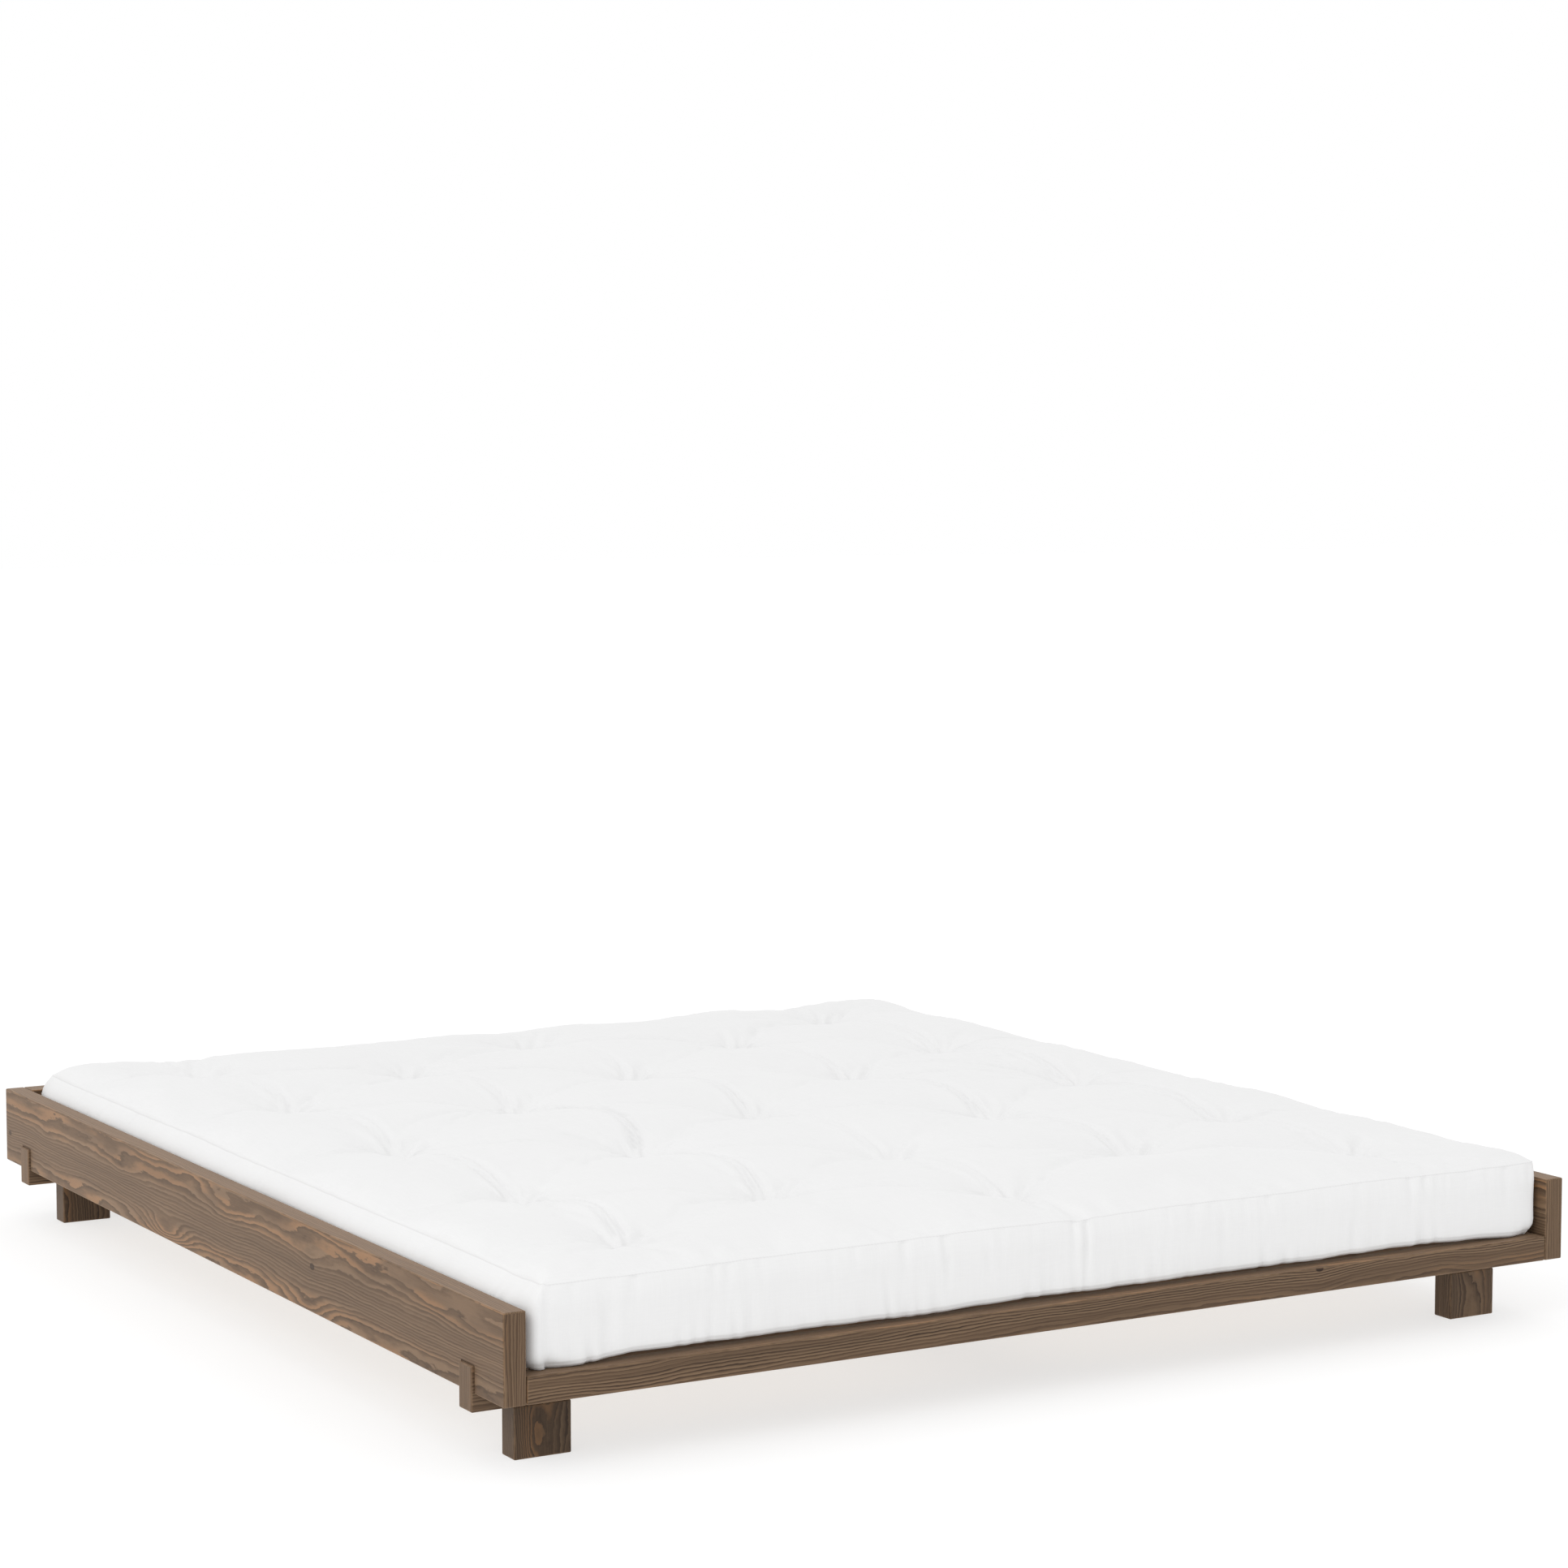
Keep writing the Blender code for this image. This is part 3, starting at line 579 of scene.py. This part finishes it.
# Other folds, as start, end, depth and bow in mm: links across, and pulls at the edge.
LONG_FOLDS = (
    ((-0.660, -0.080), (-0.335, 0.160), 5, 62), ((0.330, 0.160), (0.650, -0.080), 5, 95),
    ((-0.445, -0.077), (-0.335, -0.290), 5, 12), ((0.390, -0.180), (0.330, -0.290), 6, 6),
    ((0.400, -0.570), (0.330, -0.690), 6, 6), ((-0.080, -0.440), (-0.005, -0.510), 6, 6),
    ((-0.005, -0.850), (0.010, -1.014), 4, 6), ((-0.040, -0.900), (0.028, -1.014), 3, 6),
    ((-0.790, -0.865), (-0.878, -0.925), 2.5, 6), ((-0.800, -0.885), (-0.878, -0.942), 2, 6),
    ((-0.805, -0.910), (-0.878, -0.960), 2, 6), ((-0.590, -0.930), (-0.660, -0.850), 4, 6),
    ((-0.650, 0.840), (-0.560, 0.970), 4, 6), ((-0.330, 0.720), (-0.420, 0.970), 4, 6),
)
FOLD_SCALE = MM / 0.85
# Short pulls at every tuft: their direction, their depth, and how far to one side of the
# tuft they end, in mm. ASIDE is the direction of that side.
ASIDE = (0.86, -0.50)
PULLS = ((0.58, 9.0, 13.0), (0.80, 11.0, 11.0), (1.00, 8.0, 8.0), (1.32, 8.0, -7.0),
         (0.20, 4.0, 6.0), (2.60, 5.0, -6.0))
SPOKES = 10                # small folds all round each tuft
STRAND_WIDTH, LONG_WIDTH, SPOKE_WIDTH, PULL_WIDTH = 0.0036, 0.0060, 0.0040, 0.0044
CREASE_LIMIT = 0.012       # creases that run together get no deeper than this
TUFT_RADIUS = 0.009        # round each tuft, where the creases end


def rise(distance, reach):
    return 1.0 - np.exp(-distance / reach)


def bowls(x, y):
    """How far the top sinks towards the tufts."""
    bowl = np.zeros_like(x)
    for tx, ty in TUFTS:
        far = np.hypot(x - tx, y - ty)
        pit = (0.011 * np.exp(-((far / 0.12) ** 2)) + 0.009 * np.exp(-far / 0.030)
               + 0.003 * np.exp(-far / 0.007))
        bowl = np.maximum(bowl, pit)
    return bowl


def scallops(x, y):
    """How far the edge is drawn in beside the outermost tufts."""
    drawn_in = np.zeros_like(x)
    for tx, ty in TUFTS:
        for gap, aim in ((0.885 - abs(tx), (math.copysign(0.90, tx), ty)),
                         (1.00 - abs(ty), (tx, math.copysign(1.02, ty)))):
            if gap < 0.30:
                dx, dy = aim[0] - tx, aim[1] - ty
                reach = math.hypot(dx, dy)
                t = np.clip(((x - tx) * dx + (y - ty) * dy) / reach ** 2, 0.0, 1.0)
                off = np.hypot(x - tx - t * dx, y - ty - t * dy)
                drawn_in += 0.0055 * np.exp(-((off / 0.085) ** 2)) * t
    return drawn_in


def crease_height(x, y):
    """The folds between the tufts, and the short ones that run into each tuft."""
    creases = np.zeros_like(x)
    for column, y0, y1, depth, bow in COLUMN_FOLDS:
        for aside, share in STRANDS:
            cx = TUFT_COLUMNS[column] + aside * MM
            creases += fold(x, y, (cx, y0), (cx, y1), share * depth * FOLD_SCALE,
                            STRAND_WIDTH, bow * MM, hold=0.45, tail=0.25)
    for start, end, depth, bow in LONG_FOLDS:
        creases += fold(x, y, start, end, depth * FOLD_SCALE, LONG_WIDTH, bow * MM,
                        hold=0.55, tail=0.15)
    draw = np.random.default_rng(11)
    for tx, ty in TUFTS:
        turn = draw.uniform(0, math.tau)
        for spoke in range(SPOKES):
            angle = turn + math.tau * (spoke + draw.uniform(-0.3, 0.3)) / SPOKES
            reach = draw.uniform(0.045, 0.110)
            tip = (tx + reach * math.cos(angle), ty + reach * math.sin(angle))
            depth = draw.uniform(0.0045, 0.0100)
            creases += fold(x, y, tip, (tx, ty), depth, SPOKE_WIDTH,
                            draw.uniform(-8, 8) * MM, hold=0.35, tail=0.0)
        for angle, depth, aside in PULLS:
            angle += draw.uniform(-0.10, 0.10)
            reach = draw.uniform(0.060, 0.130)
            foot = (tx + ASIDE[0] * aside * MM, ty + ASIDE[1] * aside * MM)
            tip = (foot[0] + reach * math.cos(angle), foot[1] + reach * math.sin(angle))
            depth *= draw.uniform(0.6, 1.2) * MM
            creases += fold(x, y, tip, foot, depth, PULL_WIDTH,
                            draw.uniform(-10, 10) * MM, hold=0.45, tail=0.0)
    limited = CREASE_LIMIT * (np.exp(np.minimum(creases, 0.0) / CREASE_LIMIT) - 1.0)
    creases = np.maximum(creases, 0.0) + limited
    for tx, ty in TUFTS:
        far = np.hypot(x - tx, y - ty)
        creases *= 1.0 - 0.8 * np.exp(-((far / TUFT_RADIUS) ** 2))
    return creases


def top_height(x, y, in_x, in_y, folded=True):
    """Height of the top above its seam, before it is puffed up. in_x and in_y are the
    distances in from the seam."""
    height = EDGE_RISE * rise(in_x, EDGE_REACH) * rise(in_y, EDGE_REACH)
    height += CROWN_RISE * rise(in_x, CROWN_REACH) * rise(in_y, CROWN_REACH)
    height -= PUFF * rise(in_x, PUFF_REACH) * rise(in_y, PUFF_REACH)
    height -= bowls(x, y)
    inside = np.clip(np.minimum(in_x, in_y) / 0.02, 0.0, 1.0)
    height += inside * (0.0018 * smooth_noise(x, y, 3, 0.22)
                        + 0.0006 * smooth_noise(x, y, 4, 0.06) - scallops(x, y))
    if folded:
        height += crease_height(x, y)
        puckers = smooth_noise(x, y * 0.2, 5, 0.026) + smooth_noise(x, y * 0.2, 6, 0.050)
        height += 0.0007 * puckers * np.exp(-in_y / 0.030) * inside
    return height


def graded_lines(low, high, windows, fine, coarse):
    """Lines from low to high, close together in each window and near both ends."""
    lines = [0.0]
    while lines[-1] < high - low - fine:
        here = low + lines[-1]
        close = min(here - low, high - here) < 0.030
        close = close or any(first < here < last for first, last in windows)
        lines.append(lines[-1] + (fine if close else coarse))
    lines = np.array(lines) * (high - low) / lines[-1]
    hem = [0.0, 0.0015]
    return low + np.concatenate([hem, lines[1:-1], (high - low) - np.array(hem[::-1])])


def simulate_sheet(x_span, y_span, seam_z):
    """Puffs the top up as cloth sewn down round its edge and at every tuft. Returns the
    grid lines and how far each grid point moved."""
    counts = [int((b - a) / SHEET_STEP) + 1 for a, b in (x_span, y_span)]
    xs, ys = (np.linspace(*span, n) for span, n in zip((x_span, y_span), counts))
    gx, gy = np.meshgrid(xs, ys, indexing="ij")
    in_x = np.minimum(gx - xs[0], xs[-1] - gx)
    in_y = np.minimum(gy - ys[0], ys[-1] - gy)
    start = np.stack([gx, gy, seam_z + top_height(gx, gy, in_x, in_y, False)], -1)
    points = start.reshape(-1, 3)
    columns, rows = gx.shape
    faces = [(i * rows + j, (i + 1) * rows + j, (i + 1) * rows + j + 1, i * rows + j + 1)
             for i in range(columns - 1) for j in range(rows - 1)]
    mesh = bpy.data.meshes.new("sheet")
    mesh.from_pydata(points.tolist(), [], faces)
    sheet = bpy.data.objects.new("sheet", mesh)
    scene = bpy.context.scene
    scene.collection.objects.link(sheet)
    sewn = set(np.where(np.minimum(in_x, in_y).ravel() < 1e-6)[0].tolist())
    for tx, ty in TUFTS:
        far = np.hypot(points[:, 0] - tx, points[:, 1] - ty)
        sewn |= set(np.where(far < SEWN_RADIUS)[0].tolist())
    sheet.vertex_groups.new(name="sewn").add(sorted(sewn), 1.0, "REPLACE")
    cloth = sheet.modifiers.new("cloth", "CLOTH")
    fabric = cloth.settings
    fabric.quality = 8
    fabric.mass = 0.3
    fabric.tension_stiffness = fabric.compression_stiffness = 15.0
    fabric.shear_stiffness = 5.0
    fabric.bending_stiffness = 0.03
    fabric.tension_damping = fabric.compression_damping = fabric.shear_damping = 25.0
    fabric.bending_damping = 0.5
    fabric.use_pressure = True
    fabric.uniform_pressure_force = 1.8
    fabric.shrink_min = -0.0032
    fabric.vertex_group_mass = "sewn"
    fabric.effector_weights.gravity = 0.0
    cloth.collision_settings.use_collision = False
    cloth.point_cache.frame_start = 1
    cloth.point_cache.frame_end = SHEET_FRAMES
    first_frame = scene.frame_current
    for frame_number in range(1, SHEET_FRAMES + 1):
        scene.frame_set(frame_number)
    settled = sheet.evaluated_get(bpy.context.evaluated_depsgraph_get()).to_mesh()
    after = np.empty(len(points) * 3)
    settled.vertices.foreach_get("co", after)
    bpy.data.objects.remove(sheet)
    bpy.data.meshes.remove(mesh)
    scene.frame_set(first_frame)
    moved = after.reshape(start.shape) - start
    moved[..., :2] = np.clip(moved[..., :2], -MOST_ASIDE, MOST_ASIDE)
    moved[..., 2] = np.clip(moved[..., 2], -MOST_DOWN, MOST_UP)
    return xs, ys, moved


def cubic_weights(at, lines):
    """Rows of weights that read a smooth curve through evenly spaced lines."""
    place = (at - lines[0]) / (lines[1] - lines[0])
    left = np.clip(np.floor(place).astype(int), 0, len(lines) - 2)
    t = np.clip(place - left, 0.0, 1.0)
    parts = (-t ** 3 + 2 * t ** 2 - t, 3 * t ** 3 - 5 * t ** 2 + 2,
             -3 * t ** 3 + 4 * t ** 2 + t, t ** 3 - t ** 2)
    weights = np.zeros((len(at), len(lines)))
    for offset, part in zip((-1, 0, 1, 2), parts):
        column = np.clip(left + offset, 0, len(lines) - 1)
        np.add.at(weights, (np.arange(len(at)), column), part / 2)
    return weights


# Strong wrinkles in the foot panel: their x; the share of the panel's height where they
# are deepest, and how far they reach from there; their depth and their width.
FOOT_WRINKLES = (
    (-0.3195, 0.95, 0.55, 0.0026, 0.0050), (-0.2970, 1.00, 0.40, 0.0016, 0.0060),
    (-0.2232, 0.20, 0.50, 0.0032, 0.0045), (-0.1500, 0.45, 0.35, 0.0015, 0.0060),
    (-0.0010, 0.10, 0.50, 0.0024, 0.0050), (0.0220, 0.30, 0.80, 0.0032, 0.0050),
    (0.2700, 0.30, 0.50, 0.0018, 0.0055), (0.5200, 0.80, 0.50, 0.0018, 0.0060),
    (-0.7700, 0.60, 0.80, 0.0020, 0.0100), (-0.5500, 0.85, 0.50, 0.0020, 0.0080),
)
LEFT_WRINKLES = (0.075, 0.093)     # two in the left panel, back from the near corner
WRINKLE_EVERY = 0.016              # a small one in every so much of the way round


def gathers(walked, share, length, corner_x):
    """Upright wrinkles of the side panels: how far each point stands out, in metres.
    walked is the distance round the panels from the near left corner, at corner_x."""
    draw = np.random.default_rng(21)
    wrinkles = []
    for _ in range(int(length / WRINKLE_EVERY)):
        low_half = draw.uniform() < 0.60
        wrinkles.append((draw.uniform(0, length), 1.0 if low_half else 0.05,
                         draw.uniform(0.20, 0.60), draw.uniform(0.0005, 0.0019),
                         draw.uniform(0.0038, 0.0085)))
    wrinkles += [(x - corner_x, middle, reach, 1.1 * depth, width)
                 for x, middle, reach, depth, width in FOOT_WRINKLES]
    wrinkles += [(length - back, 0.2, 0.8, 0.0028, 0.0060) for back in LEFT_WRINKLES]
    out = np.zeros_like(walked)
    for place, middle, reach, depth, width in wrinkles:
        lean = draw.uniform(-0.010, 0.010) * (share - middle)
        off = np.abs(walked - place - lean)
        off = np.minimum(off, length - off)
        fade = np.exp(-2.0 * ((share - middle) / reach) ** 2)
        out += depth * fade * (0.35 * np.exp(-((off - 2.0 * width) / width) ** 2)
                               - np.exp(-(off / width) ** 1.4))
    return out


class Skin:
    """A mesh that is built up from lists of points, mostly rings."""

    def __init__(self):
        self.points, self.faces, self.count = [], [], 0

    def add(self, points):
        """Adds points and returns their numbers."""
        numbers = list(range(self.count, self.count + len(points)))
        self.points.append(np.asarray(points))
        self.count += len(points)
        return numbers

    def band(self, upper, lower):
        """Joins two rings of as many points."""
        for k in range(len(upper)):
            after = (k + 1) % len(upper)
            self.faces.append((upper[k], lower[k], lower[after], upper[after]))


def rounded_plan(x_lines, y_lines):
    """The grid of the top, with its corners drawn in to an arc, its middle and half size."""
    gx, gy = np.meshgrid(x_lines, y_lines, indexing="ij")
    half = np.array([x_lines[-1] - x_lines[0], y_lines[-1] - y_lines[0]]) / 2
    centre = np.array([x_lines[-1] + x_lines[0], y_lines[-1] + y_lines[0]]) / 2
    dx = np.abs(gx - centre[0]) - (half[0] - CORNER)
    dy = np.abs(gy - centre[1]) - (half[1] - CORNER)
    both = (dx > 0) & (dy > 0)
    scale = np.where(both, np.maximum(dx, dy) / np.maximum(np.hypot(dx, dy), 1e-9), 1.0)
    gx = np.where(both, gx - np.sign(gx - centre[0]) * dx * (1 - scale), gx)
    gy = np.where(both, gy - np.sign(gy - centre[1]) * dy * (1 - scale), gy)
    return gx, gy, centre, half


def shape_top(x_lines, y_lines, gx, gy, seam_z):
    """The top's points: crowned, folded, and puffed up by the simulation."""
    in_x = np.maximum(np.minimum(gx - x_lines[0], x_lines[-1] - gx), 0.0)
    in_y = np.maximum(np.minimum(gy - y_lines[0], y_lines[-1] - gy), 0.0)
    gz = seam_z + top_height(gx, gy, in_x, in_y)
    gz += 0.0016 * smooth_noise(gx, gy, 31, 0.5) + 0.0006 * smooth_noise(gx, gy, 33, 0.08)
    gz -= SEAM_DIP * np.exp(-(np.minimum(in_x, in_y) / SEAM_DIP_REACH) ** 2)
    top = np.stack([gx, gy, gz], -1)
    xs, ys, moved = simulate_sheet(x_lines[[0, -1]], y_lines[[0, -1]], seam_z)
    across, along = cubic_weights(x_lines, xs), cubic_weights(y_lines, ys)
    top += np.einsum("ia,abk,jb->ijk", across, moved, along, optimize=True)
    return top


def add_top(skin, top):
    """Adds the top, and returns its border. The border is cut finer than the grid, so
    that the side panels can gather."""
    columns, rows = top.shape[:2]
    top = top.reshape(-1, 3)
    skin.add(top)
    ring = [i * rows for i in range(columns)]
    ring += [(columns - 1) * rows + j for j in range(1, rows)]
    ring += [i * rows + rows - 1 for i in range(columns - 2, -1, -1)]
    ring += list(range(rows - 2, 0, -1))
    seam_ring, splits = [], {}
    for first, second in zip(ring, ring[1:] + ring[:1]):
        pieces = int(round(np.linalg.norm(top[second] - top[first]) / PANEL_STEP))
        shares = np.arange(1, pieces)[:, None] / max(pieces, 1)
        inner = skin.add(top[first] * (1 - shares) + top[second] * shares)
        seam_ring += [first] + inner
        splits[first, second] = inner
    for i in range(columns - 1):
        for j in range(rows - 1):
            a = i * rows + j
            corners = (a, a + rows, a + rows + 1, a + 1)
            face = []
            for first, second in zip(corners, corners[1:] + corners[:1]):
                face += [first] + splits.get((first, second), [])
            skin.faces.append(face)
    return seam_ring


# How far down the side panels each ring lies, and the one that is the bottom seam. The
# panels swing out from the top seam until FULL_OUT.
HEM = 0.940
FULL_OUT = 0.28
PANEL_LEVELS = (0.0120, 0.025, 0.050, 0.085, 0.13, 0.19, 0.26, 0.34, 0.43, 0.52, 0.61,
                0.70, 0.78, 0.85, 0.90, 0.927, HEM, 0.953, 0.975, 0.99, 1.0)


def add_panels(skin, seam_ring, low_z, centre, half):
    """The side panels: out from the seam, down, and in under a lifted, wavy lower edge.
    Returns the ring of the bottom seam and the last ring."""
    border = np.concatenate(skin.points)[seam_ring]
    outward = np.roll(border, -1, 0) - np.roll(border, 1, 0)
    outward = np.stack([outward[:, 1], -outward[:, 0]], -1)
    outward /= np.linalg.norm(outward, axis=1)[:, None]
    steps = np.linalg.norm(np.roll(border, -1, 0)[:, :2] - border[:, :2], axis=1)
    walked = np.concatenate([[0.0], np.cumsum(steps)[:-1]])
    length = steps.sum()
    corner_x = centre[0] - half[0]

    def waves(seed, size):
        return smooth_noise(walked, np.zeros_like(walked), seed, size)

    # The lower edge is lifted in slow waves, but not at the corners.
    corner_gap = np.hypot(np.abs(border[:, 0] - centre[0]) - half[0],
                          np.abs(border[:, 1] - centre[1]) - half[1])
    lift = 0.0070 + 0.0026 * waves(24, 0.42) + 0.0010 * waves(25, 0.12)
    lift = np.maximum(lift, 0.0) * np.clip((corner_gap - 0.045) / 0.09, 0, 1)
    depth = border[:, 2] - low_z - lift
    waviness = 0.0014 * waves(23, 0.55) + 0.0010 * waves(26, 0.17)
    ends = np.where(outward[:, 1] < 0, SEAM_FRONT_INSET, SEAM_BACK_INSET)
    sides = np.where(outward[:, 0] < 0, SEAM_LEFT_INSET, SEAM_RIGHT_INSET)
    bulge = sides * np.abs(outward[:, 0]) ** 2 + ends * np.abs(outward[:, 1]) ** 2
    bulge = bulge * (0.70 + 0.30 * np.clip(corner_gap / 0.05, 0, 1))
    # The edge also turns in further at the corners, which makes them round.
    tucked = np.clip(1.0 - corner_gap / 0.045, 0.0, 1.0)
    tuck_in, tuck_up = 0.0075 + 0.0100 * tucked, 0.0085 + 0.0170 * tucked
    last_ring = seam_ring
    for share in PANEL_LEVELS:
        above = depth * (1.0 - share)
        out = bulge * math.sin(math.pi / 2 * min(share / FULL_OUT, 1.0))
        out = out - 0.0011 * math.exp(-(((share - HEM) / 0.009) ** 2))
        out = out - tuck_in * np.clip(1.0 - above / tuck_up, 0.0, 1.0) ** 2
        out = out + waviness * math.sin(math.pi * share)
        out = out + gathers(walked, share, length, corner_x) * min(share / 0.03, 1.0)
        level = border.copy()
        level[:, :2] += outward * out[:, None]
        level[:, 2] = border[:, 2] - depth * share
        ring = skin.add(level)
        skin.band(last_ring, ring)
        last_ring = ring
        if share == HEM:
            hem_ring = ring
    return hem_ring, last_ring


def add_underside(skin, last_ring, low_z, centre):
    """Rings that shrink to the middle and settle on the slats."""
    last = skin.points[-1]
    middle = np.array([centre[0], centre[1], low_z])
    for scale in (0.99, 0.965, 0.90, 0.7, 0.35):
        level = middle + (last - middle) * scale
        level[:, 2] = low_z + (last[:, 2] - low_z) * max(0.0, (scale - 0.9) / 0.1) ** 2
        ring = skin.add(level)
        skin.band(last_ring, ring)
        last_ring = ring
    point, = skin.add(middle[None, :])
    for k in range(len(last_ring)):
        skin.faces.append((last_ring[k], point, last_ring[(k + 1) % len(last_ring)]))


def make_mattress():
    low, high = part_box("mattress")
    x_lines = graded_lines(low.x + SEAM_LEFT_INSET, high.x - SEAM_RIGHT_INSET,
                           [(x + FOLDED_X[0], x + FOLDED_X[1]) for x in TUFT_COLUMNS],
                           FINE_X, COARSE_X)
    y_lines = graded_lines(low.y + SEAM_FRONT_INSET, high.y - SEAM_BACK_INSET,
                           [(y + FOLDED_Y[0], y + FOLDED_Y[1])
                            for y in OUTER_ROWS + INNER_ROWS],
                           FINE_Y, COARSE_Y)
    gx, gy, centre, half = rounded_plan(x_lines, y_lines)
    skin = Skin()
    seam_ring = add_top(skin, shape_top(x_lines, y_lines, gx, gy, low.z + SEAM_HEIGHT))
    hem_ring, last_ring = add_panels(skin, seam_ring, low.z, centre, half)
    add_underside(skin, last_ring, low.z, centre)

    mesh = bpy.data.meshes.new("tufted_mattress")
    mesh.from_pydata(np.concatenate(skin.points).tolist(), [], skin.faces)
    mesh.shade_smooth()
    # The seam attribute says where the cotton gets painted shade: fully at the top seam,
    # less at the bottom seam.
    seam_shade_mask = mesh.attributes.new("seam", "FLOAT", "POINT")
    sewn = np.zeros(len(mesh.vertices), dtype=np.float32)
    sewn[seam_ring] = 1.0
    sewn[hem_ring] = 0.7
    seam_shade_mask.data.foreach_set("value", sewn)
    mattress = bpy.data.objects.new("tufted_mattress", mesh)
    bpy.context.scene.collection.objects.link(mattress)
    mesh.materials.append(cotton_material())
    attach(mattress, MATTRESS_BODY)
    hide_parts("mattress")


# ----------------------------------------------------------------------------- studio
def make_camera():
    """Level with the photographer's eye, turned 30 degrees and tipped 5 degrees down."""
    data = bpy.data.cameras.new("camera")
    data.sensor_width = 36.0
    data.lens = 84.92
    data.clip_end = 200.0
    camera = bpy.data.objects.new("camera", data)
    camera.location = (-3.0606, -5.4192, 1.3665)
    camera.rotation_euler = (math.radians(90.0 - 4.995), 0.0, math.radians(-30.263))
    bpy.context.scene.collection.objects.link(camera)
    bpy.context.scene.camera = camera


def make_floor():
    mesh = bpy.data.meshes.new("floor")
    reach = 40.0
    corners = [(-reach, -reach, 0), (reach, -reach, 0),
               (reach, reach, 0), (-reach, reach, 0)]
    mesh.from_pydata(corners, [], [(0, 1, 2, 3)])
    floor = bpy.data.objects.new("floor", mesh)
    bpy.context.scene.collection.objects.link(floor)
    material, g, shader = new_material("floor_paint")
    place = g.add("TexCoord").outputs["Object"]
    cloud = g.noise(place, 0.8, 2.0)
    colour = g.blend(cloud, srgb(161, 161, 161), srgb(163, 163, 163))
    g.feed(shader.inputs["Base Color"], colour)
    shader.inputs["Emission Color"].default_value = (1.0, 1.0, 1.0, 1.0)
    shader.inputs["Emission Strength"].default_value = 0.66
    shader.inputs["Roughness"].default_value = 0.9
    shader.inputs["Specular IOR Level"].default_value = 0.1
    mesh.materials.append(material)


def area_light(name, location, target, size, power):
    data = bpy.data.lights.new(name, "AREA")
    data.shape = "SQUARE"
    data.size = size
    data.energy = power
    light = bpy.data.objects.new(name, data)
    light.location = location
    aim = Vector(target) - Vector(location)
    light.rotation_euler = aim.to_track_quat("-Z", "Y").to_euler()
    bpy.context.scene.collection.objects.link(light)


def make_light():
    world = bpy.data.worlds.new("studio")
    world.use_nodes = True
    background = world.node_tree.nodes["Background"]
    background.inputs["Color"].default_value = (1.0, 1.0, 1.0, 1.0)
    background.inputs["Strength"].default_value = 1.0
    bpy.context.scene.world = world
    area_light("key", (-12.0, -7.5, 9.75), (0.0, 0.0, 0.2), 7.5, 640.0)
    bpy.context.scene.view_settings.view_transform = "Standard"


finish_wood()
finish_fittings()
make_mattress()
make_camera()
make_floor()
make_light()
